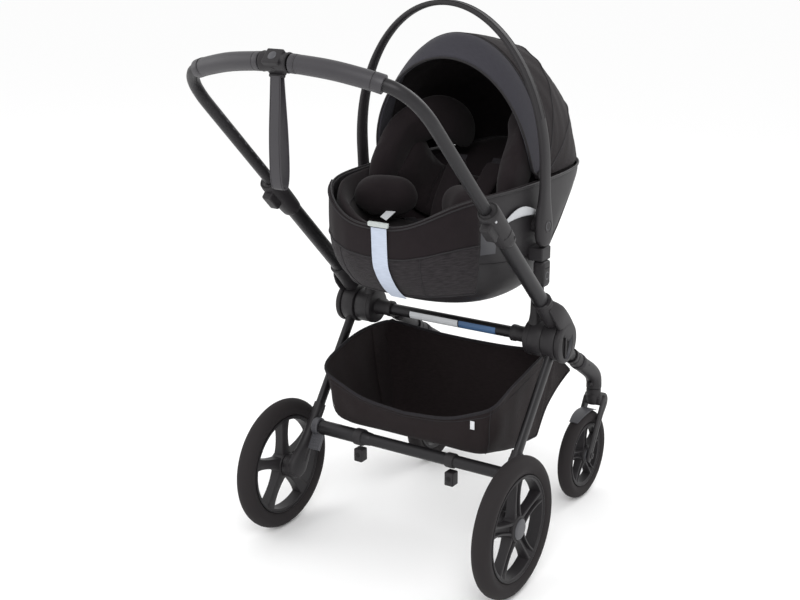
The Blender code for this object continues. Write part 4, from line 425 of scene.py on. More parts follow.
def piece(name, mesh, look, body, nodes=(), angle=35):
    """Put a mesh in the scene with its finish, on the body it moves with."""
    made = bpy.data.objects.new(name, mesh)
    bpy.context.scene.collection.objects.link(made)
    mesh.materials.clear()
    mesh.materials.append(finish(look))
    mesh.shade_smooth()
    mesh.set_sharp_from_angle(angle=math.radians(angle))
    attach(made, body)
    if nodes:
        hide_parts(*nodes)
    return made


def turned(name, profile, place, direction, look, body, sides=40, nodes=(), caps=(True, True)):
    """A lathed piece."""
    return piece(name, lathe(name, profile, place, direction, sides, caps), look, body, nodes)


def swept(name, path, halves, look, body, across=(1, 0, 0), sides=24, square=2.0, nodes=(),
          angle=35):
    """A swept piece."""
    return piece(name, sweep(name, path, halves, across, sides, square), look, body, nodes, angle)


def ringed(name, start, direction, radius, width, rise, look, body, sides=48):
    """A band as a piece of its own."""
    return piece(name, band(name, start, direction, radius, width, rise, sides), look, body)


def soften(made):
    """One level of subdivision."""
    soft = made.modifiers.new("soft", "SUBSURF")
    soft.levels = soft.render_levels = 1


def loft(name, rings, closed=True, caps=(True, True)):
    """Skin rings of points; the UV map holds metres along each ring and from ring to ring."""
    mesh = bpy.data.meshes.new(name)
    work = bmesh.new()
    cloth = work.loops.layers.uv.new("cloth")
    rows = [[work.verts.new(p) for p in ring] for ring in rings]
    count = len(rings[0])
    middle_of = [sum((Vector(p) for p in ring), Vector()) / count for ring in rings]
    along = [0.0]
    for low, high in zip(rings, rings[1:]):
        steps = [(Vector(a) - Vector(b)).length for a, b in zip(low, high)]
        along.append(along[-1] + sum(steps) / count)
    widest = max(range(len(rings)), key=lambda k: ring_length(rings[k], closed))
    across = [0.0]
    guide = [Vector(p) for p in rings[widest]]
    for a, b in zip(guide, guide[1:] + guide[:1]):
        across.append(across[-1] + (a - b).length)
    for j, (low, high) in enumerate(zip(rows, rows[1:])):
        for i in range(count if closed else count - 1):
            k = (i + 1) % count
            face = work.faces.new((low[i], low[k], high[k], high[i]))
            marks = ((across[i], along[j]), (across[i + 1], along[j]),
                     (across[i + 1], along[j + 1]), (across[i], along[j + 1]))
            for loop, mark in zip(face.loops, marks):
                loop[cloth].uv = mark
    for wanted, k in zip(caps, (0, -1)):
        if wanted:
            row, centre = rows[k], work.verts.new(middle_of[k])
            for i, corner in enumerate(row):
                work.faces.new((corner, row[(i + 1) % count], centre))
    bmesh.ops.recalc_face_normals(work, faces=work.faces)
    work.to_mesh(mesh)
    work.free()
    return mesh


def ring_length(ring, closed):
    """The length along a ring or an open row of points."""
    points = [Vector(p) for p in ring]
    ends = points[1:] + (points[:1] if closed else [])
    return sum((a - b).length for a, b in zip(points, ends))


def section(middle, across, along, half_a, half_b, sides, square=2.0):
    """An ellipse, or a rounded rectangle when square is over 2."""
    ring = []
    for i in range(sides):
        turn = 2 * math.pi * i / sides
        c, s = math.cos(turn), math.sin(turn)
        ring.append(middle + across * (half_a * math.copysign(abs(c) ** (2 / square), c))
                    + along * (half_b * math.copysign(abs(s) ** (2 / square), s)))
    return ring


def sweep(name, path, halves, across, sides=24, square=2.0):
    """A bar along a path, with the half sizes of its section at each point."""
    path = [Vector(p) for p in path]
    across = Vector(across).normalized()
    if not isinstance(halves, list):
        halves = [halves] * len(path)
    rings = []
    for i, middle in enumerate(path):
        ahead = (path[min(i + 1, len(path) - 1)] - path[max(i - 1, 0)]).normalized()
        flat = (across - ahead * across.dot(ahead)).normalized()
        rings.append(section(middle, flat, ahead.cross(flat), *halves[i], sides, square))
    return loft(name, rings)


def axes_for(direction):
    """Two directions square to the given one."""
    ahead = Vector(direction).normalized()
    up = UP if abs(ahead.z) < 0.95 else Vector((0, 1, 0))
    side = up.cross(ahead).normalized()
    return side, ahead.cross(side)


def lathe(name, profile, origin, direction, sides=48, caps=(True, True)):
    """Turn a profile of (radius, height) points round an axis."""
    origin, ahead = Vector(origin), Vector(direction).normalized()
    side, up = axes_for(ahead)
    rings = [section(origin + ahead * height, side, up, max(radius, 0.00005),
                     max(radius, 0.00005), sides) for radius, height in profile]
    return loft(name, rings, caps=caps)


def bar(name, start, end, radius, sides=32):
    """A round bar with softened ends."""
    start, end, edge = Vector(start), Vector(end), 0.0006
    length = (end - start).length
    profile = [(radius - edge, 0), (radius, edge), (radius, length - edge), (radius - edge, length)]
    return lathe(name, profile, start, end - start, sides)


def band(name, start, direction, radius, width, rise=0.0008, sides=48):
    """A raised ring round a tube, with rounded shoulders."""
    profile = [(radius - 0.0004, 0), (radius + rise * 0.8, rise * 0.5), (radius + rise, rise * 1.4),
               (radius + rise, width - rise * 1.4), (radius + rise * 0.8, width - rise * 0.5),
               (radius - 0.0004, width)]
    return lathe(name, profile, start, direction, sides, OPEN)


def curve_through(points, count):
    """Points on a smooth Catmull-Rom curve through the given ones."""
    points = [Vector(p) for p in points]
    padded = [points[0] * 2 - points[1], *points, points[-1] * 2 - points[-2]]
    spans = len(points) - 1
    found = []
    for i in range(count):
        where = i / (count - 1) * spans
        span = min(int(where), spans - 1)
        t = where - span
        a, b, c, d = padded[span:span + 4]
        found.append(b + (c - a) * (t / 2) + (2 * a - 5 * b + 4 * c - d) * (t * t / 2)
                     + (3 * b - a - 3 * c + d) * (t ** 3 / 2))
    return found


def block(name, middle, size, edge, turn=None, segments=3):
    """A moulded block with rounded edges."""
    mesh = bpy.data.meshes.new(name)
    work = bmesh.new()
    bmesh.ops.create_cube(work, size=1.0)
    bmesh.ops.scale(work, vec=size, verts=work.verts)
    bmesh.ops.bevel(work, geom=work.edges[:], offset=edge, segments=segments, profile=0.6,
                    affect="EDGES")
    if turn:
        bmesh.ops.transform(work, matrix=turn, verts=work.verts)
    bmesh.ops.translate(work, vec=middle, verts=work.verts)
    work.to_mesh(mesh)
    work.free()
    return mesh


def merge(name, *meshes):
    """Several meshes as one."""
    work = bmesh.new()
    for mesh in meshes:
        work.from_mesh(mesh)
    whole = bpy.data.meshes.new(name)
    work.to_mesh(whole)
    work.free()
    return whole


def flip_outwards(mesh, middle):
    """Turn an open sheet's faces away from a point."""
    work = bmesh.new()
    work.from_mesh(mesh)
    if sum(f.normal.dot(f.calc_center_median() - middle) for f in work.faces) < 0:
        bmesh.ops.reverse_faces(work, faces=work.faces)
    work.to_mesh(mesh)
    work.free()
    return mesh


def thicken(made, thickness, soft=True):
    """Give a sheet its cloth's thickness and soften its edges."""
    wall = made.modifiers.new("cloth", "SOLIDIFY")
    wall.thickness = thickness
    wall.offset = -1
    if soft:
        soften(made)
    return made


def piping(name, path, body, radius=None, look="thread"):
    """Corded seam along a path."""
    size = radius or sizes().piping
    return swept(name, path, (size, size), look, body, PIPING_ACROSS, 10)


def fill(made):
    """Swell a closed pad: remesh it and keep what its cloth does under some frames of pressure."""
    scene, cap = bpy.context.scene, sizes().swell
    made.modifiers.clear()
    remesh = made.modifiers.new("voxels", "REMESH")
    remesh.mode = "VOXEL"
    remesh.voxel_size = sizes().voxel
    mesh = baked(made)
    look = made.data.materials[0]
    made.data = mesh
    mesh.materials.clear()
    mesh.materials.append(look)
    rest = [v.co.copy() for v in mesh.vertices]
    cloth = made.modifiers.new("filling", "CLOTH")
    cloth.settings.quality = 5
    cloth.settings.use_pressure = True
    cloth.settings.uniform_pressure_force = FILL_PRESSURE
    cloth.settings.effector_weights.gravity = 0.0
    for step in range(1, FILL_FRAMES + 1):
        scene.frame_set(step)
    graph = bpy.context.evaluated_depsgraph_get()
    swollen = made.evaluated_get(graph).to_mesh()
    for vertex, start, moved in zip(mesh.vertices, rest, swollen.vertices):
        shift = moved.co - start
        if shift.length > cap:
            shift *= cap / shift.length
        vertex.co = start + shift
    made.evaluated_get(graph).to_mesh_clear()
    made.modifiers.clear()
    scene.frame_set(1)
    mesh.shade_smooth()
    smooth = made.modifiers.new("relax", "SMOOTH")
    smooth.iterations = 2
    soften(made)


def cushion(made):
    """Fill a closed pad."""
    fill(made)


def cloth_sheet(name, rows, look, body, nodes, thickness, centre, soft=True):
    """A thick sheet of cloth from rows of points."""
    mesh = flip_outwards(loft(name, rows, closed=False, caps=OPEN), centre)
    made = thicken(piece(name, mesh, look, body, nodes, 80), thickness, soft)


def mirrored(p, s=-1):
    """A right side's point, on side s."""
    return Vector((s * p.x, p.y, p.z))


def both_sides(half):
    """A right half's points, carried on over the middle to the left."""
    return half + [mirrored(p) for p in reversed(half[:-1])]


def fullness(i, count, reach, start=1.0, power=0.6):
    """How full a pad is at one of its stations: round at both ends and 1 between them."""
    return math.sin(math.pi / 2 * min(1.0, (min(i, count - 1 - i) + start) / reach)) ** power


def box_of(node):
    """Middle and size of a piece's box in the frame."""
    low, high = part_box(node)
    return (low + high) / 2, high - low


def baked(made):
    """The mesh that an object's modifiers make."""
    bpy.context.view_layer.update()
    graph = bpy.context.evaluated_depsgraph_get()
    mesh = bpy.data.meshes.new_from_object(made.evaluated_get(graph))
    made.modifiers.clear()
    return mesh


# Wheels

def tyre_mesh(name, middle, radius, width, depth):
    """A tyre: a round tread on straight walls."""
    half = width / 2
    inner = radius - depth
    crown = radius - half
    profile = [(inner, -half * 0.60), (inner + 0.004, -half * 0.80)]
    for i in range(15):
        turn = -math.pi / 2 + math.pi * i / 14
        profile.append((crown + half * math.cos(turn), half * math.sin(turn)))
    profile += [(inner + 0.004, half * 0.80), (inner, half * 0.60), (inner, -half * 0.60)]
    return lathe(name, profile, middle, (1, 0, 0), 96, caps=OPEN)


def spoke_mesh(name, middle, outward, angle, hub, ring, half_wide, half_thick):
    """A spoke with a U channel sunk into its outer side, flared at both ends."""
    side, up = axes_for(outward)
    outward = Vector(outward)
    along = side * math.cos(angle) + up * math.sin(angle)
    across = -side * math.sin(angle) + up * math.cos(angle)
    rings = []
    steps = 10
    for i in range(steps + 1):
        share = i / steps
        place = middle + along * (hub + (ring - hub) * share)
        flare = 1 + 0.55 * (1 - share) ** 4 + 0.45 * share ** 6
        w = half_wide * flare
        t = half_thick * (1 - 0.22 * math.sin(math.pi * share))
        sunk = half_thick * 0.55 * min(1.0, 6 * share, 6 * (1 - share) + 0.001)
        outline = [(-w, -t * 0.9), (-w, t * 0.86), (-w * 0.9, t), (-w * 0.58, t),
                   (-w * 0.44, t - sunk), (w * 0.44, t - sunk), (w * 0.58, t), (w * 0.9, t),
                   (w, t * 0.86), (w, -t * 0.9), (w * 0.8, -t), (-w * 0.8, -t)]
        rings.append([place + across * a + outward * b for a, b in outline])
    return loft(name, rings)


def rim_mesh(name, middle, outward, radius, depth, width):
    """Ring with a raised lip on each side, five spokes and a hub."""
    outer = radius - depth - 0.0003
    half = 0.34 * width
    ring = [(outer, -half * 1.12), (outer, half * 1.12), (outer - 0.0022, half * 1.18),
            (outer - 0.0034, half), (outer - 0.0080, half * 0.92), (outer - 0.0080, -half * 0.92),
            (outer - 0.0034, -half), (outer - 0.0022, -half * 1.18), (outer, -half * 1.12)]
    parts = [lathe(f"{name}_ring", ring, middle, outward, 96, caps=OPEN)]
    hub = 0.19 * radius
    wide = 0.062 * radius + 0.0008
    for i in range(SPOKES):
        angle = math.pi / 2 + 2 * math.pi * i / SPOKES
        parts.append(spoke_mesh(f"{name}_spoke", middle, outward, angle, hub * 0.6, outer - 0.006,
                                wide, half * 0.98))
    return parts, hub


def make_wheel(kind, side, middle, radius, width, depth, hub_out, hub_in):
    """Tyre with its beads, rim with its barrel, and hub cap."""
    s = SIDES[side]
    outward = Vector((s, 0, 0))
    body = f"{kind}_wheel_{side}"
    middle = mirrored(middle, s)
    piece(f"{kind}_wheel_tyre_{side}", tyre_mesh("tyre", middle, radius, width, depth), "tyre",
          body, (f"{kind}_tyre_{side}",), 60)
    seat = radius - depth
    for end in (-1, 1):
        turned(f"{kind}_tyre_bead_{side}_{'in' if end < 0 else 'out'}",
               [(seat + 0.0052, 0), (seat + 0.0058, 0.0007), (seat + 0.0066, 0)],
               middle + outward * end * width * 0.405, outward * end, "tyre", body, 96, caps=OPEN)
    parts, hub = rim_mesh("rim", middle, outward, radius, depth, width)
    barrel = [(hub * 0.70, -hub_in), (hub * 0.92, -hub_in + 0.001), (hub, -hub_in + 0.004),
              (hub, hub_out * 0.45), (hub * 0.96, hub_out * 0.72), (hub * 0.84, hub_out * 0.86),
              (hub * 0.80, hub_out * 0.80)]
    parts.append(lathe("barrel", barrel, middle, outward, 64))
    piece(f"{kind}_wheel_rim_{side}", merge("rim", *parts), "nylon", body, (f"{kind}_rim_{side}",),
          32)
    cap = [(hub * 0.78, hub_out * 0.70), (hub * 0.78, hub_out * 0.90), (hub * 0.73, hub_out * 0.96),
           (hub * 0.45, hub_out * 1.0), (0, hub_out * 1.01)]
    turned(f"{kind}_wheel_cap_{side}", cap, middle, outward, "grey", body, 48)


# Front wheels' forks

def make_fork(side):
    """Swivelling fork: crown, knuckle, two curved arms, axle and fender."""
    s = SIDES[side]
    body = f"caster_{side}"
    axle = mirrored(FRONT_AXLE, s)
    swivel = Vector((s * SWIVEL.x, SWIVEL.y, 0))
    gap, arm = FRONT_WIDTH / 2 + 0.0022, 0.0040
    top, low = SWIVEL.z - 0.0004, 2 * FRONT_RADIUS + 0.0035
    crown = [(0.006, low + 0.001), (0.0150, low + 0.002), (0.0172, low + 0.012),
             (0.0172, top - 0.018), (0.0160, top - 0.016), (0.0160, top - 0.014),
             (0.0170, top - 0.012), (0.0170, top - 0.0026), (0.0162, top - 0.0006), (0.0150, top)]
    turned(f"caster_crown_{side}", crown, swivel, UP, "nylon", body, nodes=(f"caster_fork_{side}",))
    knuckle = block("knuckle", (swivel.x, swivel.y + 0.010, low + 0.011),
                    (2 * (gap + arm), 0.042, 0.021), 0.007)
    piece(f"caster_knuckle_{side}", knuckle, "nylon", body)
    guide = [(-0.010, -0.013), (-0.004, 0), (0.018, 0.040), (0.045, 0.085), (0.064, 0.113),
             (0.068, 0.128)]
    size = [(0.8, 0.0060, 0), (1, 0.0115, 0), (1, 0.0105, 0), (1, 0.0125, 0), (1, 0.0165, 0),
            (0.8, 0.0080, 0)]
    halves = [(arm * p.x, p.y) for p in curve_through(size, 21)]
    bolt = [(0.0066, 0), (0.0072, 0.0008), (0.0066, 0.0026), (0.0032, 0.0030), (0.0028, 0.0018)]
    for end in (-1, 1):
        out = end * (gap + arm)
        name = f"{'outer' if end == s else 'inner'}_{side}"
        path = curve_through([axle + Vector((out, y, z)) for y, z in guide], 21)
        swept(f"caster_arm_{name}", path, halves, "nylon", body, sides=28, square=2.8, angle=60)
        groove = [axle + Vector((out + end * arm, y, z)) for y, z in guide[1:5]]
        piping(f"caster_arm_rib_{name}", curve_through(groove, 13), body, 0.0008, "nylon")
        turned(f"caster_bolt_{name}", bolt, axle + Vector((end * (gap + 2 * arm - 0.0006), 0, 0)),
               (end, 0, 0), "nylon", body, 28)
    reach = Vector((gap, 0, 0))
    piece(f"caster_axle_{side}", bar("axle", axle - reach, axle + reach, 0.0056), "steel", body)
    fender, halves = [], []
    for i in range(9):
        turn = math.radians(62 + 56 * i / 8)
        fender.append(axle + Vector((0, math.cos(turn), math.sin(turn))) * (FRONT_RADIUS + 0.0028))
        halves.append((FRONT_WIDTH / 2 * (0.55 + 0.45 * math.sin(math.pi * (i + 1) / 10)), 0.0011))
    swept(f"caster_fender_{side}", fender, halves, "grey", body, sides=16, square=3.0)


# Front frame

def front_leg_points(s):
    """Root, seam, bend and foot of a front leg's line."""
    root = Vector((s * FRONT_LEG_OUT, HUB.y + 0.0130, HUB.z + 0.0115))
    bend = Vector((s * SWIVEL.x, SWIVEL.y - 0.020, 0.296))
    return root, root.lerp(bend, 0.585), bend, mirrored(SWIVEL, s)


def make_front_leg(side):
    """Front tube, its curved elbow with rings and a seam, and the swivel lock."""
    s = SIDES[side]
    root, seam, bend, foot = front_leg_points(s)
    along = (seam - root).normalized()
    piece(f"front_tube_{side}", bar("leg", root + along * 0.016, seam + along * 0.030,
                                    FRONT_LEG_RADIUS, 40), "tube", "frame", (f"front_leg_{side}",))
    ringed(f"front_tube_collar_{side}", root + along * 0.034, along, FRONT_LEG_RADIUS, 0.006,
           0.0008, "nylon", "frame")
    guide = [seam, seam.lerp(bend, 0.55), bend + Vector((0, -0.010, 0.0075)),
             bend + Vector((0, 0.0125, -0.012)), foot + Vector((0, 0, 0.012)), foot]
    halves = []
    for i in range(31):
        r = ELBOW_RADIUS * (0.97 + 0.09 * math.sin(math.pi * (i / 30)))
        if i in (0, 30):
            r *= 0.96
        halves.append((r, r))
    swept(f"front_elbow_body_{side}", curve_through(guide, 31), halves, "nylon", "frame", sides=40,
          nodes=(f"front_elbow_{side}",), angle=60)
    for name, place, direction, share, width, rise, look in (
            ("ring", seam - along * 0.001, along, 0.96, 0.0085, 0.0009, "nylon"),
            ("seam", seam + along * 0.0125, along, 0.985, 0.0018, 0.0004, "dark"),
            ("foot", foot + Vector((0, 0, 0.0006)), UP, 0.985, 0.010, 0.0008, "nylon")):
        ringed(f"front_elbow_{name}_{side}", place, direction, ELBOW_RADIUS * share, width, rise,
               look, "frame")
    for k in (0.4, 0.55):
        place = seam.lerp(bend, k) + Vector((s * ELBOW_RADIUS * 1.02, 0, 0.002))
        turned(f"front_elbow_dot_{side}_{int(k * 100)}",
               [(0.0019, -0.0004), (0.0019, 0.0003), (0.0010, 0.0003)], place, (s, 0, 0), "dark",
               "frame", 16)
    make_lock(side)


def make_lock(side):
    """Swivel lock: a ribbed tab that slides in the elbow's back."""
    node = f"swivel_lock_{side}"
    middle, size = box_of(node)
    stem = block("stem", (middle.x, middle.y + size.y * 0.2, middle.z),
                 (size.x, size.y * 0.6, size.z), 0.0012)
    tip = block("tip", (middle.x, middle.y - size.y * 0.28, middle.z - size.z * 0.12),
                (size.x * 0.9, size.y * 0.42, size.z * 0.42), 0.0014)
    piece(f"swivel_tab_{side}", merge("tab", stem, tip), "nylon", node, (node,))


def disc_rings(inner, outer, radius, edge):
    """Profile of a disc with rounded edges."""
    return [(radius - edge, inner), (radius - edge * 0.3, inner + edge * 0.3),
            (radius, inner + edge), (radius, outer - edge),
            (radius - edge * 0.3, outer - edge * 0.3), (radius - edge, outer)]


def make_hub(side):
    """Folding hub: core with bead and collar, seat post, rear leg's disc, pin and outer disc."""
    s = SIDES[side]
    out = Vector((s, 0, 0))
    centre = Vector((0, HUB.y, HUB.z))
    core = disc_rings(HUB_INNER_FACE, CORE_OUTER_FACE - 0.0004, CORE_DISC_RADIUS, 0.005)
    turned(f"hub_core_body_{side}", core, centre, out, "nylon", "frame", 72, (f"hub_core_{side}",))
    ringed(f"hub_core_bead_{side}", centre + out * (HUB_INNER_FACE + 0.010), out,
           CORE_DISC_RADIUS - 0.0002, 0.0035, 0.0009, "nylon", "frame", 72)
    collar = [(0.0165, 0), (0.0178, 0.0012), (0.0178, 0.010), (0.0166, 0.0125), (0.0166, 0.034),
              (0.0190, 0.0405)]
    turned(f"cross_tube_collar_{side}", collar, centre + out * (HUB_INNER_FACE - 0.040), out,
           "nylon", "frame", 48)
    stations = [(0.020, 0.0150, 0.0235), (0.034, 0.0142, 0.0215), (0.044, 0.0128, 0.0185),
                (0.054, 0.0118, 0.0165), (0.075, 0.0115, 0.0160)]
    post = [Vector((s * POST_OUT, HUB.y, HUB.z + rise)) for rise, _, _ in stations]
    halves = [(a, b) for _, a, b in stations]
    swept(f"seat_post_{side}", post + [Vector((s * POST_OUT, HUB.y, POST_TOP))],
          halves + halves[-1:], "nylon", "frame", sides=32, square=2.6, angle=50)
    leg_disc = disc_rings(CORE_OUTER_FACE + 0.0004, LEG_OUTER_FACE - 0.0004,
                          LEG_DISC_RADIUS - 0.0003, 0.0034)
    turned(f"rear_leg_disc_{side}", leg_disc, centre, out, "nylon", "rear_frame", 72,
           (f"rear_leg_{side}",))
    start, end = (centre + out * x for x in (HUB_INNER_FACE + 0.014, HUB_OUTER_FACE - 0.0086))
    pin = bar("pin", start, end, 0.006)
    piece(f"hub_pin_end_{side}", pin, "steel", "frame", (f"hub_pin_{side}",))
    make_outer_disc(side, centre, out)


def make_outer_disc(side, centre, out):
    """Outer disc of the folding hub: an oval recess with a grey wall, a near-black floor that is
    painted shade, and a web.
    """
    side_axis, up = axes_for(out)
    inner, outer = LEG_OUTER_FACE + 0.0004, HUB_OUTER_FACE
    low = outer - RECESS_DEPTH + 0.0003
    sink = centre + Vector((0, -0.001, -0.002))

    def ovals(*sections):
        return [section(sink + out * x, side_axis, up, a, b, 72) for a, b, x in sections]

    rings = [section(centre + out * x, side_axis, up, radius, radius, 72)
             for radius, x in disc_rings(inner, outer, OUTER_DISC_RADIUS, 0.004)]
    lip = (0.0238, 0.0338, outer - 0.0009)
    edge = (0.0226, 0.0324, low)
    rings += ovals((0.0245, 0.0345, outer), lip)
    body = loft("outer_disc", rings, caps=(True, False))
    piece(f"handle_hub_body_{side}", body, "nylon", "handle", (f"handle_hub_{side}",), 30)
    wall = loft("recess_wall", ovals(lip, edge), caps=OPEN)
    piece(f"handle_hub_rim_{side}", wall, "grey", "handle")
    # The recess floor is painted near-black as the shade in the recess
    floor = ovals(edge, (0.0150, 0.0220, low), (0.0040, 0.0070, low))
    floor = loft("recess_floor", floor, caps=(False, True))
    piece(f"handle_hub_floor_{side}", floor, "dark", "handle")
    web = block("web", sink + out * (outer - 0.0045), (0.0040, 0.0050, 0.062), 0.0012)
    piece(f"handle_hub_web_{side}", web, "nylon", "handle")
    arm_out, arm_half = (inner + outer) / 2, (outer - inner) / 2
    stations = ((-0.006, 0, 0.0200, 1), (0.015, 0, 0.0222, 1), (0.035, 0, 0.0230, 1),
                (0.055, 0, 0.0224, 1), (0.072, 0, 0.0205, 0.95), (0.090, 0.0030, 0.0165, 0.75),
                (0.105, 0.0070, 0.0120, 0.45))
    path = [on_handle(along) + out * (arm_out - sunk) for along, sunk, _, _ in stations]
    halves = [(arm_half * thick, wide) for _, _, wide, thick in stations]
    swept(f"handle_hub_arm_{side}", path, halves, "nylon", "handle", sides=36, square=2.6, angle=50)


def make_cross_tube():
    """Cross tube with two blank label patches."""
    reach = HUB_INNER_FACE + 0.0055
    tube = bar("tube", (-reach, HUB.y, HUB.z), (reach, HUB.y, HUB.z), CROSS_TUBE_RADIUS, 48)
    piece("cross_bar", tube, "tube", "frame", ("cross_tube",))
    radius = CROSS_TUBE_RADIUS + 0.00025
    for name, low, high, look in (("pale", -0.100, 0.022, "label"),
                                  ("blue", 0.025, 0.115, "blue_label")):
        rings = []
        for i in range(11):
            turn = math.radians(150 + 80 * i / 10)
            rings.append([Vector((low + (high - low) * k / 12, HUB.y + radius * math.cos(turn),
                                  HUB.z + radius * math.sin(math.pi - turn))) for k in range(13)])
        piece(f"cross_bar_patch_{name}", loft("patch", rings, closed=False, caps=OPEN), look,
              "frame")


def make_adapter(side):
    """Seat adapter with a skirt, a line on its outer face and a release button."""
    s = SIDES[side]
    middle, size = box_of(f"adapter_{side}")
    low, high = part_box(f"adapter_{side}")
    main = block("adapter", middle, size, 0.008, segments=4)
    skirt = block("skirt", middle - Vector((0, 0, size.z * 0.36)),
                  (size.x * 0.86, size.y * 0.80, size.z * 0.34), 0.004)
    piece(f"adapter_block_{side}", merge("adapter", main, skirt), "nylon", "frame",
          (f"adapter_{side}",))
    line = [Vector((high.x if s > 0 else low.x, y, middle.z + size.z * 0.22))
            for y in (low.y + 0.008, middle.y, high.y - 0.008)]
    piping(f"adapter_line_{side}", line, "frame", 0.0008, "dark")
    node = f"adapter_button_{side}"
    low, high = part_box(node)
    centre = (low + high) / 2
    radius = (high.z - low.z) / 2
    outer = abs((high.x if s > 0 else low.x) - centre.x)
    profile = [(radius, -outer), (radius, outer * 0.5), (radius * 0.88, outer * 0.95),
               (radius * 0.72, outer * 0.98), (radius * 0.62, outer * 0.70), (0, outer * 0.62)]
    turned(f"adapter_release_{side}", profile, centre, (s, 0, 0), "grey", node, nodes=(node,))


# Rear frame

def make_rear_leg(side):
    """Rear tube, the boss that holds the wheel's axle, its pod and its two ribs."""
    s = SIDES[side]
    out = Vector((s, 0, 0))
    top = Vector((s * REAR_LEG_TOP_OUT, HUB.y, HUB.z))
    foot = Vector((s * REAR_LEG_FOOT_OUT, AXLE_Y, REAR_AXLE.z))
    along = (foot - top).normalized()
    length = (foot - top).length
    path = [top + along * d for d in (0.030, 0.034, 0.060, 0.140, length - 0.126, length - 0.120)]
    halves = [(0.0083, 0.0122)] + [(0.0085, 0.0125)] * 5
    swept(f"rear_tube_{side}", path, halves, "tube", "rear_frame", sides=40, square=2.3, angle=60)
    start = foot - along * 0.149
    guide = [start, start + along * 0.030, foot - along * 0.060 + out * 0.001,
             foot - along * 0.026 + out * 0.001, foot + along * 0.002 + out * 0.002,
             foot + along * 0.020 + out * 0.002]
    wide = [(0.0112, 0.0152, 0), (0.0115, 0.0155, 0), (0.0115, 0.0172, 0), (0.0128, 0.0250, 0),
            (0.0138, 0.0285, 0), (0.0098, 0.0185, 0)]
    path = curve_through(guide, 26)
    halves = [(p.x, p.y) for p in curve_through(wide, 26)]
    swept(f"rear_boss_body_{side}", path, halves, "nylon", "rear_frame", sides=40, square=2.3,
          nodes=(f"rear_boss_{side}",), angle=60)
    inner, face = REAR_AXLE.x - 0.0153, REAR_LEG_FOOT_OUT
    pod = [(0.018, face - 0.004), (0.0245, face), (0.0272, face + 0.006), (0.0275, inner - 0.010),
           (0.0262, inner - 0.0085), (0.0262, inner - 0.003), (0.0240, inner)]
    turned(f"rear_boss_pod_{side}", pod, (0, foot.y, foot.z), out, "nylon", "rear_frame", 56)
    for name, shift in (("back", -0.0075), ("front", 0.0075)):
        rib = [p + Vector((-s * h[0] * 0.995, shift * (1 - 0.5 * i / 25), 0))
               for i, (p, h) in enumerate(zip(path[2:18], halves[2:18]))]
        piping(f"rear_boss_rib_{name}_{side}", rib, "rear_frame", 0.0010, "nylon")


def make_axle_tube():
    """Axle tube with its thick left sleeve, and the two lugs under it."""
    left, right = (corner.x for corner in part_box("rear_axle_tube"))
    thin, thick, length = AXLE_TUBE_RADIUS, AXLE_SLEEVE_RADIUS, right - left
    profile = [(thin - 0.0005, 0), (thin, 0.0005), (thin, 0.018), (thick - 0.0006, 0.0195),
               (thick, 0.0215), (thick, 0.136), (thick - 0.0006, 0.138), (thin + 0.0008, 0.150),
               (thin, 0.1510), (thin, length - 0.0005), (thin - 0.0005, length)]
    turned("rear_axle_bar", profile, (left, AXLE_TUBE.y, AXLE_TUBE.z), (1, 0, 0), "tube",
           "rear_frame", 48, ("rear_axle_tube",))
    # The lugs' holes are shallow dips painted near-black: painted shade stands in for their depth
    hole = [(0.0056, 0.0003), (0.0048, 0.0004), (0.0042, -0.0030), (0, -0.0032)]
    for side, radius in (("left", thick), ("right", thin)):
        node = f"axle_lug_{side}"
        low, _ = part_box(node)
        middle, size = box_of(node)
        foot = block("foot", (middle.x, middle.y, low.z + size.z * 0.33),
                     (size.x, size.y * 0.92, size.z * 0.66), 0.003)
        saddle = band("saddle", (low.x, AXLE_TUBE.y, AXLE_TUBE.z), (1, 0, 0), radius + 0.0006,
                      size.x, 0.0022)
        piece(f"axle_lug_body_{side}", merge("lug", foot, saddle), "nylon", "rear_frame", (node,))
        for name, face in (("back", -1), ("front", 1)):
            turned(f"axle_lug_hole_{name}_{side}", hole,
                   (middle.x, middle.y + face * size.y * 0.46, low.z + 0.016), (0, face, 0), "dark",
                   "rear_frame", 24)


def make_brake():
    """Foot brake: a ring round the axle tube and a ribbed pad that hangs from it."""
    low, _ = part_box("brake_pedal")
    start = Vector((low.x, AXLE_TUBE.y, AXLE_TUBE.z))
    profile = [(0.0136, 0), (0.0174, 0), (0.0190, 0.0018), (0.0190, 0.0132), (0.0174, 0.0150),
               (0.0136, 0.0150)]
    ring = lathe("ring", profile, start, (1, 0, 0), 48, OPEN)
    turn = Matrix.Rotation(math.radians(-32), 4, "X")
    middle = start + Vector((0.015, 0, 0)) + turn @ Vector((0, 0, -0.0343))
    parts = [ring, block("pad", middle, (0.030, 0.0065, 0.036), 0.0022, turn, 4)]
    for i in range(5):
        offset = turn @ Vector((0, -0.0034, -0.0125 + 0.0062 * i))
        parts.append(block("rib", middle + offset, (0.024, 0.0022, 0.0022), 0.0007, turn, 2))
    piece("brake_pedal_body", merge("brake", *parts), "grey", "brake", ("brake_pedal",))


# Handle

def on_handle(along, ahead=0.0):
    """A point in the handle tubes' plane."""
    c, s = math.cos(HANDLE_LEAN), math.sin(HANDLE_LEAN)
    off = HANDLE_AHEAD_OF_HUB + ahead
    return Vector((0, HUB.y + s * off - c * along, HUB.z + c * off + s * along))


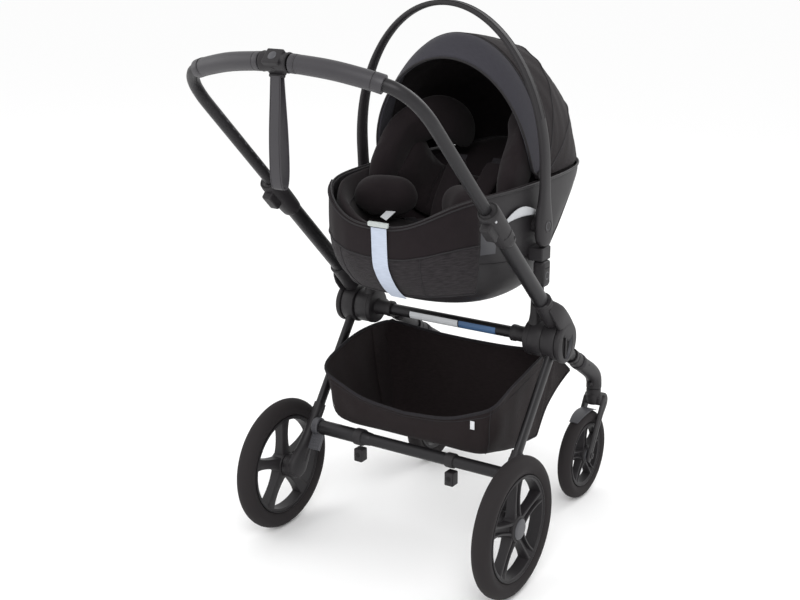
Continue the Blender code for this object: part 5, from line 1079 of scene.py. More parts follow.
def make_handle_side(side):
    """Sleeve in the hub's arm, lower tube and height clamp of one side."""
    out = Vector((SIDES[side], 0, 0))
    sleeve_out = HANDLE_OUT + 0.0018
    stations = ((0.046, 0.0024), (0.048, 0.0034), (0.062, 0.0028), (0.080, 0.0018), (0.100, 0.0012),
                (SLEEVE_TOP - 0.001, 0.0008), (SLEEVE_TOP, -0.0006))
    swept(f"handle_sleeve_{side}", [on_handle(d) + out * sleeve_out for d, _ in stations],
          [(SLEEVE_RADIUS + min(0, e), SLEEVE_RADIUS + e) for _, e in stations], "nylon", "handle",
          sides=44, angle=50)
    ringed(f"handle_sleeve_lip_{side}", on_handle(SLEEVE_TOP - 0.004) + out * sleeve_out,
           HANDLE_DIRECTION, SLEEVE_RADIUS + 0.0004, 0.0042, 0.0005, "nylon", "handle")
    tube = bar("tube", on_handle(0.0455) + out * HANDLE_OUT,
               on_handle(CLAMP_HIGH - 0.006) + out * HANDLE_OUT, OUTER_TUBE_RADIUS, 44)
    piece(f"handle_lower_tube_{side}", tube, "tube", "handle", (f"outer_tube_{side}",))
    make_clamp(side, out)


def make_clamp(side, out):
    """Height clamp: a tapered housing with a latch body behind, a lip and a bright rivet."""
    length = CLAMP_HIGH - CLAMP_LOW
    clamp_out = HANDLE_OUT + 0.0036

    def at(share, ahead=0.0, more=0.0):
        return on_handle(CLAMP_LOW + share * length, ahead) + out * (clamp_out + more)

    stations = ((0, 0.0194, 0.0172), (0.015, 0.0204, 0.0182), (0.10, 0.0208, 0.0195),
                (0.35, 0.0208, 0.0208), (0.62, 0.0208, 0.0215), (0.90, 0.0208, 0.0215),
                (0.985, 0.0204, 0.0205), (1, 0.0192, 0.0192))
    swept(f"clamp_body_{side}", [at(f) for f, _, _ in stations], [(w, d) for _, w, d in stations],
          "nylon", "handle", sides=44, square=2.15, nodes=(f"height_clamp_{side}",), angle=50)
    # The mouth's inside is painted near-black as the shade in the gap round the tube
    mouth = [(0.0196, 0), (0.0196, 0.0010), (0.0180, 0.0018), (0.0160, 0.0012), (0.0125, -0.0045)]
    turned(f"clamp_mouth_{side}", mouth, on_handle(CLAMP_HIGH - 0.0012) + out * clamp_out,
           HANDLE_DIRECTION, "dark", "handle", 44, caps=OPEN)
    lean = Matrix.Rotation(-(math.pi / 2 - HANDLE_LEAN), 4, "X").inverted()
    latch = block("latch", at(0.66, -0.024), (0.0220, 0.0200, 0.0420), 0.005, lean, 4)
    piece(f"clamp_latch_{side}", latch, "nylon", "handle")
    line = [at(0.30, h, SIDES[side] * 0.0001) + out * 0.0209 * math.sqrt(1 - (h / 0.0222) ** 2)
            for h in (-0.016, -0.008, 0, 0.008, 0.016)]
    piping(f"clamp_line_{side}", curve_through(line, 13), "handle", 0.0006, "dark")
    rivet = [(0.0030, -0.0008), (0.0030, 0.0006), (0.0022, 0.0014), (0, 0.0016)]
    turned(f"clamp_rivet_{side}", rivet, at(0.86, -0.012, 0.0172), out, "steel", "handle", 24)
    # The dimple is painted near-black as the shade in it
    dimple = [(0.0036, 0.0002), (0.0030, 0.0003), (0.0026, -0.0014), (0, -0.0016)]
    turned(f"clamp_dimple_{side}", dimple, at(0.10, 0.004, 0.0206), out, "dark", "handle", 24)


def bow_line(count):
    """The bow's centre line from the right bend to the left one."""
    crown, shoulder = HANDLE_LENGTH, HANDLE_LENGTH - 0.039
    half = [(HANDLE_OUT, BEND_START), (HANDLE_OUT - 0.0010, BEND_START + 0.030),
            (HANDLE_OUT - 0.0075, BEND_START + 0.066), (HANDLE_OUT - 0.0225, shoulder - 0.020),
            (GRIP_HALF_SPAN, shoulder), (GRIP_HALF_SPAN * 0.62, crown - 0.014),
            (GRIP_HALF_SPAN * 0.30, crown - 0.0035), (0, crown)]
    return curve_through(both_sides([on_handle(a) + Vector((x, 0, 0)) for x, a in half]), count)


def make_bow():
    """Telescoping bow with raised height marks along its inner sides."""
    ends = [on_handle(0.20) + Vector((s * HANDLE_OUT, 0, 0)) for s in (1, -1)]
    ahead = HANDLE_DIRECTION.cross(Vector((1, 0, 0)))
    swept("handle_bow_tube", [ends[0], *bow_line(121), ends[1]], (HANDLE_TUBE_RADIUS,) * 2, "tube",
          "upper_handle", ahead, 36, nodes=("handle_bow",), angle=60)
    lean = Matrix.Rotation(math.pi / 2 - HANDLE_LEAN, 4, "X")
    for side, s in SIDES.items():
        for i in range(9):
            inner = on_handle(0.475 + 0.024 * i) + Vector((s * (HANDLE_OUT - 0.0116), 0, 0))
            mark = block("mark", inner + ahead * 0.0022, (0.0008, 0.0022, 0.0070), 0.0003, lean, 1)
            piece(f"height_mark_{side}_{i}", mark, "grey", "upper_handle")


def make_grips():
    """Padded grips: stitched wrap, a wider cuff at each end and a seam along the underside."""
    dense = bow_line(401)
    gap = CLASP_WIDTH / 2 + 0.0017
    for side, s in SIDES.items():
        run = sorted((p for p in dense if gap <= s * p.x <= GRIP_HALF_SPAN), key=lambda p: s * p.x)
        run = run[::3] + [run[-1]]
        count = len(run)
        halves = []
        for i in range(count):
            r = GRIP_RADIUS - 0.0004 + 0.0004 * math.sin(math.pi * i / (count - 1))
            if i in (0, count - 1):
                r -= 0.0008
            halves.append((r, r))
        swept(f"grip_wrap_{side}", run, halves, "leatherette", "upper_handle", HANDLE_DIRECTION, 40,
              nodes=(f"handle_grip_{side}",), angle=60)
        for name, place, beside, width in (("inner", run[0], run[1], 0.010),
                                           ("outer", run[-1], run[-2], 0.017)):
            ahead = (beside - place).normalized()
            ringed(f"grip_cuff_{name}_{side}", place + ahead * 0.0004, ahead, GRIP_RADIUS - 0.0006,
                   width, 0.0006, "leatherette", "upper_handle")
            ringed(f"grip_seam_{name}_{side}", place + ahead * (width + 0.0022), ahead,
                   GRIP_RADIUS - 0.0005, 0.0012, 0.0004, "thread", "upper_handle")
        under = [p - HANDLE_DIRECTION * (GRIP_RADIUS - 0.0002) for p in run]
        piping(f"grip_stitch_{side}", under[::2], "upper_handle", 0.0006)


def make_clasp():
    """Grip clasp: a flared collar, a square plate with a round button and the strap's bar."""
    middle = on_handle(HANDLE_LENGTH)
    half, r = CLASP_WIDTH / 2, GRIP_RADIUS
    profile = [(r - 0.0012, -half), (r + 0.0006, -half + 0.0006), (r + 0.0012, -half + 0.003),
               (r + 0.0002, -half + 0.0065), (r + 0.0002, half - 0.0065),
               (r + 0.0012, half - 0.003), (r + 0.0006, half - 0.0006), (r - 0.0012, half)]
    turned("clasp_collar", profile, middle, (1, 0, 0), "nylon", "upper_handle", 48, ("grip_clasp",),
           OPEN)
    lean = Matrix.Rotation(math.pi / 2 - HANDLE_LEAN, 4, "X")
    piece("clasp_plate", block("plate", middle, (0.035, 0.030, 0.035), 0.003, lean, 4), "nylon",
          "upper_handle")
    screw = [(0.0052, 0.0), (0.0052, 0.0020), (0.0044, 0.0026), (0.0026, 0.0026), (0.0020, 0.0010),
             (0, 0.0010)]
    outward = Vector((0, -math.sin(HANDLE_LEAN), -math.cos(HANDLE_LEAN)))
    turned("clasp_screw", screw, middle + outward * 0.0148, outward, "nylon", "upper_handle", 32)
    button = [(0.0085, -0.0018), (0.0085, -0.0004), (0.0078, 0.0006), (0.0062, 0.0012), (0, 0.0016)]
    turned("clasp_push", button, on_handle(HANDLE_LENGTH + 0.0175), HANDLE_DIRECTION, "grey",
           "clasp_button", 32, ("clasp_button",))
    reach = Vector((0.0155, 0, 0))
    rod = bar("rod", STRAP_ROOT - reach, STRAP_ROOT + reach, 0.0036, 20)
    neck = block("neck", STRAP_ROOT + Vector((0, 0, 0.005)), (0.031, 0.0030, 0.010), 0.0008)
    piece("clasp_strap_bar", merge("bar", rod, neck), "nylon", "upper_handle")


def make_wrist_strap():
    """Imitation leather loop: stitched along both edges, with a soft turn at the bottom."""
    drop, side = 0.195, 0.0050
    guide = [(-side, 0), (-0.0065, -0.030), (-0.0115, -0.100), (-0.0120, -0.160),
             (-0.0080, -drop + 0.006), (0, -drop), (0.0080, -drop + 0.006),
             (0.0120, -0.160), (0.0110, -0.100), (0.0063, -0.030), (side, 0)]
    path = curve_through([STRAP_ROOT + Vector((0, y, z)) for y, z in guide], 61)
    halves = [(0.0125 - 0.0016 * abs(2 * i / 60 - 1) ** 3, 0.0010) for i in range(61)]
    swept("wrist_loop", path, halves, "leatherette", "wrist_strap", sides=20, square=5.0,
          nodes=("wrist_strap",), angle=60)
    for name, s in SIDES.items():
        edge = [p + Vector((s * (h[0] - 0.0022), 0, 0)) + off_path(path, i) * 0.0010
                for i, (p, h) in enumerate(zip(path, halves))]
        piping(f"wrist_loop_stitch_{name}", edge, "wrist_strap", 0.00035)


def off_path(path, i):
    """Direction square to a path in the YZ plane, away from the loop's middle."""
    ahead = (path[min(i + 1, len(path) - 1)] - path[max(i - 1, 0)]).normalized()
    return Vector((0, ahead.z, -ahead.y))


# Basket

def basket_rings():
    """Rings of the basket from its rim to the middle of its floor, with soft sags in the walls."""
    rim = [(0.000, 0.048, 0.310), (0.100, 0.048, 0.320), (0.165, 0.049, 0.341),
           (0.203, 0.054, 0.360), (0.218, 0.078, 0.378), (0.219, 0.130, 0.394),
           (0.217, 0.200, 0.408), (0.210, 0.268, 0.412), (0.190, 0.306, 0.408),
           (0.100, 0.312, 0.400), (0.000, 0.312, 0.398)]
    floor = [(0.000, 0.064, 0.2475), (0.090, 0.064, 0.2475), (0.150, 0.065, 0.2475),
             (0.182, 0.076, 0.2460), (0.188, 0.125, 0.2360), (0.188, 0.180, 0.2225),
             (0.186, 0.235, 0.2090), (0.176, 0.268, 0.2000), (0.150, 0.285, 0.1960),
             (0.080, 0.289, 0.1950), (0.000, 0.290, 0.1950)]
    fine_rim = curve_through(rim, 41)
    fine_floor = curve_through(floor, 41)
    rings = []
    shares = [(0, 1), (0.04, 1), (0.12, 1.0), (0.25, 1.008), (0.40, 1.016), (0.55, 1.024),
              (0.70, 1.028), (0.82, 1.024), (0.91, 1.010), (0.97, 0.985), (1, 0.93), (1, 0.80),
              (1, 0.60), (1, 0.35), (1, 0.12)]
    for share, belly in shares:
        half = []
        for i, (top, low) in enumerate(zip(fine_rim, fine_floor)):
            mix = top.lerp(low, share)
            middle = Vector((0, BASKET_MIDDLE, mix.z))
            fold = 0.0016 * math.sin(i * 1.35) * math.sin(math.pi * min(share * 1.1, 1))
            fold += 0.0011 * math.sin(i * 0.62 + 9 * share)
            sag = -0.004 * (1 - belly) ** 0.5 * (1 - abs(i / 20 - 1) ** 2) if share == 1 else 0.0
            place = middle + (mix - middle) * (belly + fold / BASKET_MIDDLE)
            half.append(Vector((place.x, AXLE_Y + place.y, place.z + sag)))
        rings.append(half + [mirrored(p) for p in reversed(half[1:-1])])
    return rings


def make_basket():
    """Basket tub with its hem, stitched seams, side panels and straps."""
    rings = basket_rings()
    centre = Vector((0, AXLE_Y + BASKET_MIDDLE, 0.31))
    mesh = flip_outwards(loft("basket", rings, caps=(False, True)), centre)
    basket = thicken(piece("basket_tub", mesh, "basket", "frame", ("storage_basket",), 80),
                     BASKET_CLOTH)

    def inset(ring, distance, drop=0.0):
        return [p + (Vector((0, AXLE_Y + BASKET_MIDDLE, p.z)) - p).normalized() * distance
                + UP * drop for p in ring + ring[:1]]

    swept("basket_hem", inset(rings[0], 0.0012, -0.0005), (0.0034, 0.0026), "belt", "frame", UP, 14)
    piping("basket_hem_stitch", inset(rings[2], -0.0004), "frame", 0.0007)
    count = len(rings[0])
    for name, column in (("right_back", 12), ("left_back", count - 12), ("right_front", 32),
                         ("left_front", count - 32)):
        seam = [ring[column] + (ring[column] - centre).normalized() * 0.0004
                for ring in rings[1:10]]
        piping(f"basket_seam_{name}", seam, "frame", 0.0009)
    piping("basket_floor_seam", [p + UP * -0.0002 for p in rings[10] + rings[10][:1]], "frame",
           0.0010)
    make_basket_straps(rings[3][8])


def wing_rows():
    """Right side panel of the basket: it hangs under the front leg, with a hollow front edge."""
    low_edge = [(0.236, 0.2200), (0.268, 0.2120), (0.300, 0.2065), (0.318, 0.2050), (0.325, 0.2220),
                (0.335, 0.2480), (0.350, 0.2700), (0.383, 0.2930), (0.420, 0.3090), (0.452, 0.3180)]
    root, _, bend, _ = front_leg_points(1)
    drop = (root.z - bend.z) / (bend.y - root.y)
    under = (ELBOW_RADIUS + 0.0018) * math.hypot(1, drop)
    edge = curve_through([(0, y, z) for y, z in low_edge], 46)
    rows = []
    for j in range(15):
        row = []
        for i, low in enumerate(edge):
            high = min(0.4075, root.z - drop * (AXLE_Y + low.y - root.y) - under)
            z = low.z + (high - low.z) * j / 14
            fold = 0.0016 * math.sin(0.42 * i + 0.25 * j) * math.sin(math.pi * j / 14)
            x = 0.1760 + 0.163 * (z - 0.205) - 0.06 * (low.y - 0.268) + fold
            row.append(Vector((x, AXLE_Y + low.y, z)))
        rows.append(row)
    return rows


def make_basket_straps(corner):
    """Side panels, the webbing loops that hold them to the front legs, and a blank care tag."""
    rows = wing_rows()
    for side, s in SIDES.items():
        sided = [[mirrored(p, s) for p in row] for row in rows]
        cloth_sheet(f"basket_wing_{side}", sided, "basket", "frame", (), PANEL_CLOTH,
                    Vector((0, AXLE_Y + 0.30, 0.30)))
        swept(f"basket_wing_hem_{side}", sided[0], (0.0022, 0.0022), "belt", "frame", sides=12)
        piping(f"basket_wing_top_{side}", sided[-1][6:], "frame", 0.0016, "belt")
        root, _, bend, _ = front_leg_points(s)
        along = (bend - root).normalized()
        for name, share, radius in (("back", 0.30, FRONT_LEG_RADIUS),
                                    ("front", 0.70, ELBOW_RADIUS)):
            ringed(f"basket_loop_{name}_{side}", root.lerp(bend, share), along, radius + 0.0004,
                   0.018, 0.0012, "belt", "frame")
    tag = block("tag", corner + Vector((0.0012, -0.0022, 0)), (0.010, 0.0006, 0.018), 0.0002, None,
                1)
    piece("basket_tag", tag, "label", "frame")


# Infant seat

def plan(turn, inset=0.0):
    """The seat's outline from above."""
    c, s = math.cos(turn), math.sin(turn)
    power = 2 / SEAT_CORNER
    return Vector(((SEAT_HALF_WIDTH - inset) * math.copysign(abs(c) ** power, c),
                   (SEAT_HALF_LENGTH - inset) * math.copysign(abs(s) ** power, s)))


def rim_height(turn):
    """Height of the shell's rim, which dips at the foot end."""
    return RIM_HEIGHT - RIM_DIP * max(0.0, -math.sin(turn)) ** 6


def seat_floor(y):
    """Height of the shell's underside: rockers in the middle and a steep rise to the head end."""
    forward = y - AXLE_Y
    back = max(0.0, forward - BACK_START) / BACK_RUN
    return (SEAT_FLOOR + SEAT_ROCK * (forward - SEAT_ROCK_MIDDLE) ** 2
            + BACK_RISE * (1 - math.exp(-back ** 2)))


def depth_of(u):
    """How far down the shell a ring lies, as a share of its depth there."""
    return (1 - u ** SEAT_WALL) ** (1 / SEAT_WALL_SQUARE)


def ring_at(depth):
    """The ring that lies at a share of the shell's depth."""
    return (1 - depth ** SEAT_WALL_SQUARE) ** (1 / SEAT_WALL)


def shell_side(turn, u):
    """A point on the shell's outer side: u is 1 on the rim and 0 in the middle of the floor."""
    flat = plan(turn) * u
    y = SEAT_Y + flat.y
    rim = rim_height(turn)
    return Vector((flat.x, y, rim - (rim - seat_floor(y)) * depth_of(u)))


def shell_point(turn, u, inset=0.0):
    """A point that lies an inset inside the shell's outer side, square to it."""
    place = shell_side(turn, u)
    step = 0.002
    along = shell_side(turn + step, u) - shell_side(turn - step, u)
    inward = along.cross(shell_side(turn, u - step) - place).normalized()
    if inward.dot(Vector((0, SEAT_Y, RIM_HEIGHT)) - place) < 0:
        inward.negate()
    return place + inward * inset


def around(count):
    """Turns round the seat, half a step off its axes."""
    return [2 * math.pi * (i + 0.5) / count for i in range(count)]


def make_shell():
    """Seat shell with its rim, parting line, sockets, belt guides and small marks."""
    turns = around(96)
    steps = [ring_at(depth) for depth in (0, 0.12, 0.25, 0.38, 0.50, 0.61, 0.71, 0.80)]
    steps += [0.83, 0.76, 0.68, 0.60, 0.51, 0.42, 0.32, 0.22, 0.12, 0.05]
    rings = [[shell_point(t, u) for t in turns] for u in steps]
    mesh = flip_outwards(loft("shell", rings, caps=(False, True)), SEAT_MIDDLE)
    thicken(piece("shell_bowl", mesh, "nylon", "seat", ("seat_shell",), 80), SHELL_SKIN)
    closed = turns + turns[:1]
    edge = [shell_point(t, 1.0, -0.0006) + Vector((0, 0, -0.0012)) for t in closed]
    swept("shell_rim", edge, (0.0030, 0.0022), "nylon", "seat", UP, 14)
    line = [shell_point(t, ring_at(0.52 + 0.06 * math.cos(t) ** 2), -0.0002) for t in closed]
    piping("shell_part_line", line, "seat", 0.0009, "nylon")
    for side, s in SIDES.items():
        make_receiver(side, s)
        make_belt_guide(side, s)
    make_shell_marks()


def make_receiver(side, s):
    """Socket over the adapter and the boss that the carry handle turns on."""
    middle = Vector((s * 0.2074, HUB.y, ADAPTER_TOP + 0.0145))
    piece(f"seat_socket_{side}", block("socket", middle, (0.0332, 0.0400, 0.0282), 0.004, None, 4),
          "nylon", "seat")
    inner_face = CARRY_HALF_WIDTH + CARRY_THICKNESS / 2 - CARRY_BOSS_THICKNESS
    start, end = (Vector((s * x, CARRY_PIVOT.y, CARRY_PIVOT.z))
                  for x in (SEAT_HALF_WIDTH - 0.004, inner_face - 0.0004))
    piece(f"seat_pivot_boss_{side}", bar("boss", start, end, 0.016, 40), "nylon", "seat")


def make_belt_guide(side, s):
    """Pale hook under the rim that the lap belt runs through."""
    turn = math.radians(-11) if s > 0 else math.radians(191)
    path, halves = [], []
    for k in range(9):
        bulge = math.sin(math.pi * k / 8)
        place = shell_point(turn + s * math.radians(-6 + 1.5 * k) * 1.4, 0.9994)
        path.append(place + Vector((s * (0.004 + 0.002 * bulge), 0, 0.001 + 0.012 * bulge - 0.004)))
        halves.append((0.0016 + 0.0018 * bulge, 0.0040 + 0.0060 * bulge))
    swept(f"belt_guide_{side}", path, halves, "pale", "seat", sides=18, square=2.6)


def make_shell_marks():
    """Small marks on the shell's right side: a red lock indicator and a blank grey plate."""
    turn = math.radians(-42)
    outward = Vector((math.cos(turn), math.sin(turn), -0.35)).normalized()
    window = [(0.0062, -0.0012), (0.0062, 0.0004), (0.0052, 0.0012), (0, 0.0014)]
    turned("lock_indicator", window, shell_point(turn, ring_at(0.38), -0.0012), outward, "red",
           "seat", 28)
    rows = [[shell_point(turn + math.radians(7 + 10 * i / 8), ring_at(0.48 - 0.20 * j / 4), -0.0008)
             for i in range(9)] for j in range(5)]
    piece("shell_plate", loft("plate", rows, closed=False, caps=OPEN), "grey", "seat")


def cover_point(i, count, share, off=COVER_OFF):
    """A point of the foot cover, from its top hem down."""
    turn = -math.pi / 2 + FOOT_SPREAD * (2 * i / (count - 1) - 1)
    low = COVER_LOW + 0.085 * (1 - abs(math.sin(turn)))
    u = ring_at(depth_of(low) * share)
    arch = math.sin(math.pi * share)
    swell = 0.0010 * arch + 0.0006 * math.sin(i * 0.9) * arch
    return shell_point(turn, u, -off - swell)


def make_foot_cover():
    """Cloth round the foot end: plain above, melange weave below, with a piped edge and seams."""
    count, steps = 61, 20
    split = 0.47
    for name, low, high, look, nodes in (("upper", 0.0, split, "knit", ("foot_cover",)),
                                         ("lower", split, 1.0, "melange", ())):
        rows = [[cover_point(i, count, low + (high - low) * j / steps) for i in range(count)]
                for j in range(steps + 1)]
        cloth_sheet(f"foot_cover_{name}", rows, look, "seat", nodes, COVER_CLOTH, SEAT_MIDDLE,
                    False)
    for name, share in (("top", 0.03), ("split", split), ("hem", 0.985)):
        path = [cover_point(i, count, share, COVER_OFF + 0.0006) for i in range(count)]
        piping(f"foot_cover_piping_{name}", path, "seat")
    for name, i in (("left", 0), ("right", count - 1)):
        path = [cover_point(i, count, j / 20, COVER_OFF - 0.0006) for j in range(21)]
        piping(f"foot_cover_edge_{name}", path, "seat")
    for name, i in (("left", 19), ("right", 41)):
        path = [cover_point(i, count, split + (1 - split) * j / 12, COVER_OFF + 0.0004)
                for j in range(13)]
        piping(f"foot_cover_seam_{name}", path, "seat", 0.0007)


def liner_floor(y):
    """Height of the liner's hollow along the middle."""
    forward = y - AXLE_Y
    return (LINER_FLOOR + 0.86 * max(0.0, forward - 0.215) ** 1.08
            + 0.6 * max(0.0, 0.06 - forward))


def liner_rim(turn):
    """Height of the liner's rolled rim, raised at the head end."""
    return rim_height(turn) - 0.004 + HEAD_RISE * max(0.0, math.sin(turn)) ** 4


def liner_top(x, y):
    """Height of the liner at a place."""
    inset = SHELL_WALL + LINER_ROLL
    a, b = SEAT_HALF_WIDTH - inset, SEAT_HALF_LENGTH - inset
    u = ((abs(x) / a) ** SEAT_CORNER + (abs(y - SEAT_Y) / b) ** SEAT_CORNER) ** (1 / SEAT_CORNER)
    turn = math.atan2((y - SEAT_Y) / b, x / a)
    low = liner_floor(y)
    return low + (liner_rim(turn) - low) * min(u, 1) ** LINER_WALL


def on_liner(x, y, lift=0.0):
    """A point over the liner's top."""
    return Vector((x, y, liner_top(x, y) + lift))


def make_liner():
    """Padded liner: a rolled rim, sewn channels and a soft hollow."""
    turns = around(96)
    gap = SHELL_WALL + LINER_GAP
    rings = [[shell_point(t, u, gap) for t in turns] for u in
             (0.06, 0.2, 0.35, 0.5, 0.62, 0.73, 0.82, 0.89, 0.94, 0.97, 0.987)]
    for share, height in ((0.12, 0.45), (0.25, 0.80), (0.45, 0.96), (0.7, 1.0), (0.88, 0.985)):
        ring = []
        for t in turns:
            flat = plan(t, gap + (LINER_ROLL - gap) * share)
            low = shell_point(t, 0.987, gap).z
            top = liner_rim(t) + 0.003
            ring.append(Vector((flat.x, SEAT_Y + flat.y, low + (top - low) * height)))
        rings.append(ring)
    for u in (0.985, 0.955, 0.92, 0.87, 0.80, 0.71, 0.60, 0.48, 0.36, 0.24, 0.14, 0.05):
        ring = []
        for t in turns:
            flat = plan(t, SHELL_WALL + LINER_ROLL) * u
            pucker = 0.0011 * math.sin(18 * t) * math.exp(-((u - 0.93) / 0.06) ** 2)
            ring.append(on_liner(flat.x, SEAT_Y + flat.y, pucker))
        rings.append(ring)
    liner = piece("liner_pad", loft("liner", rings), "knit", "seat", ("seat_liner",), 80)
    soften(liner)
    edge = []
    for t in turns + turns[:1]:
        flat = plan(t, SHELL_WALL + LINER_ROLL) * 0.955
        edge.append(on_liner(flat.x, SEAT_Y + flat.y, 0.0008))
    piping("liner_piping", edge, "seat")


def insert_station(j, stations):
    """Place along the insert from -1 to 1, its y and the height of its crown there."""
    along = math.cos(math.pi * (0.05 + 0.90 * j / (stations - 1)))
    return along, AXLE_Y + 0.170 - 0.106 * along, 0.078 * (1 - along ** 4) ** 0.6


def make_insert():
    """Newborn insert: two filled side lobes with a valley between them, and a seam along the
    valley.
    """
    stations, across = 33, 41
    rings = []
    for j in range(stations):
        along, y, crown = insert_station(j, stations)
        half = 0.139 * (1 - abs(along) ** 3.2) ** 0.4
        top, under = [], []
        for i in range(across):
            share = math.sin(math.pi / 2 * (2 * i / (across - 1) - 1))
            x = half * share
            valley = 1 - 0.72 * math.exp(-(x / 0.038) ** 2)
            swell = max(0.0, 1 - share ** 4) ** 0.5
            floor = liner_top(x, y)
            top.append(Vector((x, y, floor + 0.008 + crown * valley * swell)))
            if 0 < i < across - 1:
                under.append(Vector((x, y, floor + 0.0012)))
        rings.append(top + under[::-1])
    insert = piece("insert_cushion", loft("insert", rings), "knit", "seat", ("newborn_insert",), 80)
    cushion(insert)
    seam = []
    for j in range(3, stations - 3):
        _, y, crown = insert_station(j, stations)
        seam.append(Vector((0, y, liner_top(0, y) + 0.0105 + crown * 0.28)))
    piping("insert_valley_seam", seam, "seat", 0.0012)


def make_insert_tag():
    """Blank tag where the insert carries its care label."""
    turn = Matrix.Rotation(math.radians(24), 4, "Y") @ Matrix.Rotation(math.radians(-58), 4, "X")
    tag = block("tag", (-0.072, AXLE_Y + 0.098, 0.716), (0.016, 0.0006, 0.030), 0.0002, turn, 1)
    piece("insert_tag", tag, "label", "seat")


def make_headrest():
    """Head support: a thick band across the backrest whose ends stand up as two wings."""
    lean = math.radians(38.5)
    up_back = Vector((0, math.cos(lean), math.sin(lean)))
    off_back = Vector((0, -math.sin(lean), math.cos(lean)))
    y = AXLE_Y + 0.360
    base = Vector((0, y, liner_floor(y) - 0.0014))
    half = [(0.124, 0.158), (0.131, 0.120), (0.126, 0.074), (0.104, 0.038), (0.056, 0.021),
            (0, 0.016)]
    path = curve_through(both_sides([base + Vector((x, 0, 0)) + off_back * n for x, n in half]), 49)
    halves = []
    for i in range(len(path)):
        grow = fullness(i, len(path), 7)
        halves.append((0.071 * (0.78 + 0.22 * grow), 0.0185 * grow))
    headrest = swept("headrest_pad", path, halves, "knit", "seat", up_back, 36, 2.6, ("headrest",),
                     80)
    cushion(headrest)


def make_bolsters():
    """Side wings that climb from the rim into the hood, and a round roll at each side's foot."""
    wing = [(0.152, -0.105, 0.752), (0.153, -0.070, 0.775), (0.152, -0.035, 0.812),
            (0.147, 0.005, 0.852), (0.122, 0.045, 0.874), (0.102, 0.085, 0.880),
            (0.086, 0.122, 0.868), (0.078, 0.152, 0.845), (0.074, 0.178, 0.815)]
    wing_halves = []
    for i in range(37):
        grow = fullness(i, 37, 7, 0.6)
        wing_halves.append((0.021 * grow, (0.040 + 0.012 * math.sin(math.pi * i / 36)) * grow))
    roll = [(0.140, -0.185, 0.744), (0.120, -0.160, 0.748), (0.096, -0.138, 0.748),
            (0.068, -0.120, 0.743), (0.040, -0.106, 0.735)]
    roll_halves = [0.042 * fullness(i, 21, 7, 0.5, 0.62) for i in range(21)]
    roll_halves = [(h, h * 0.92) for h in roll_halves]
    for side, s in SIDES.items():
        for name, guide, halves, across, sides, square in (
                ("side_bolster", wing, wing_halves, (1, 0, 0), 30, 2.4),
                ("leg_roll", roll, roll_halves, UP, 26, 2.2)):
            path = curve_through([(s * x, SEAT_Y + y, z) for x, y, z in guide], len(halves))
            cushion(swept(f"{name}_{side}", path, halves, "knit", "seat", across, sides, square,
                          angle=80))


def make_harness():
    """Harness: two padded shoulder belts, the hip belts, the buckle and its button."""
    middle, _ = box_of("harness_buckle")
    turn = Matrix.Rotation(math.radians(-14), 4, "X")
    piece("buckle_body", block("buckle", middle, (0.040, 0.052, 0.0155), 0.0055, turn, 4), "nylon",
          "seat", ("harness_buckle",))
    centre, _ = box_of("buckle_button")
    piece("buckle_release", block("release", centre, (0.0235, 0.0215, 0.0080), 0.0022, turn, 4),
          "red", "buckle_button", ("buckle_button",))
    back = on_liner(0, AXLE_Y + 0.335, 0.030)
    for side, s in SIDES.items():
        tongue = middle + Vector((s * 0.012, 0.026, 0.004))
        guide = [tongue, tongue + Vector((s * 0.010, 0.022, 0.014)),
                 Vector((s * 0.036, AXLE_Y + 0.262, back.z + 0.010)),
                 Vector((s * 0.044, AXLE_Y + 0.318, back.z + 0.060)),
                 Vector((s * 0.046, AXLE_Y + 0.352, back.z + 0.098))]
        path = curve_through(guide, 25)
        swept(f"shoulder_belt_{side}", path, (0.014, 0.0009), "belt", "seat", sides=14, square=5.0,
              angle=60)
        padded = [p + Vector((0, -0.003, 0.004)) for p in path[7:23]]
        halves = []
        for k in range(len(padded)):
            edge = min(k, len(padded) - 1 - k)
            halves.append((0.0235 * min(1.0, 0.80 + 0.1 * edge),
                           0.0062 * min(1.0, 0.55 + 0.2 * edge)))
        pad = swept(f"shoulder_pad_{side}", padded, halves, "knit", "seat", square=2.8, angle=80)
        soften(pad)
        hip = [middle + Vector((s * 0.018, 0.006, 0)), middle + Vector((s * 0.045, 0.014, 0.012)),
               Vector((s * 0.088, AXLE_Y + 0.208, middle.z + 0.034)),
               Vector((s * 0.118, AXLE_Y + 0.232, middle.z + 0.022))]
        swept(f"hip_belt_{side}", curve_through(hip, 15), (0.0009, 0.013), "belt", "seat", UP, 14,
              5.0, angle=60)


def make_pull_strap():
    """Pale webbing from a clip on the foot end's rim, down over the cover."""
    spots = [(0.020, 1.0), (0.022, 0.990), (0.027, 0.965), (0.032, 0.935), (0.034, 0.91),
             (0.036, 0.87), (0.036, 0.80)]
    path = curve_through([shell_point(-math.pi / 2 + t, u, -STRAP_OFF) for t, u in spots], 45)
    swept("pull_webbing", path, (0.018, 0.0008), "webbing", "seat", sides=20, square=5.0,
          nodes=("pull_strap",), angle=60)
    middle, size = box_of("strap_clip")
    parts = [block("clip", middle, size, 0.0028, None, 4)]
    for s in (-1, 1):
        parts.append(block("ear", middle + Vector((s * 0.0185, -0.001, 0.0005)),
                           (0.010, 0.0065, 0.0070), 0.0025))
    piece("pull_clip", merge("clip", *parts), "clip", "seat", ("strap_clip",))


# Carry handle

def carry_lean(z):
    """The carry handle's y at a height: it leans to the foot end."""
    return CARRY_PIVOT.y - CARRY_LEAN * (z - CARRY_PIVOT.z)


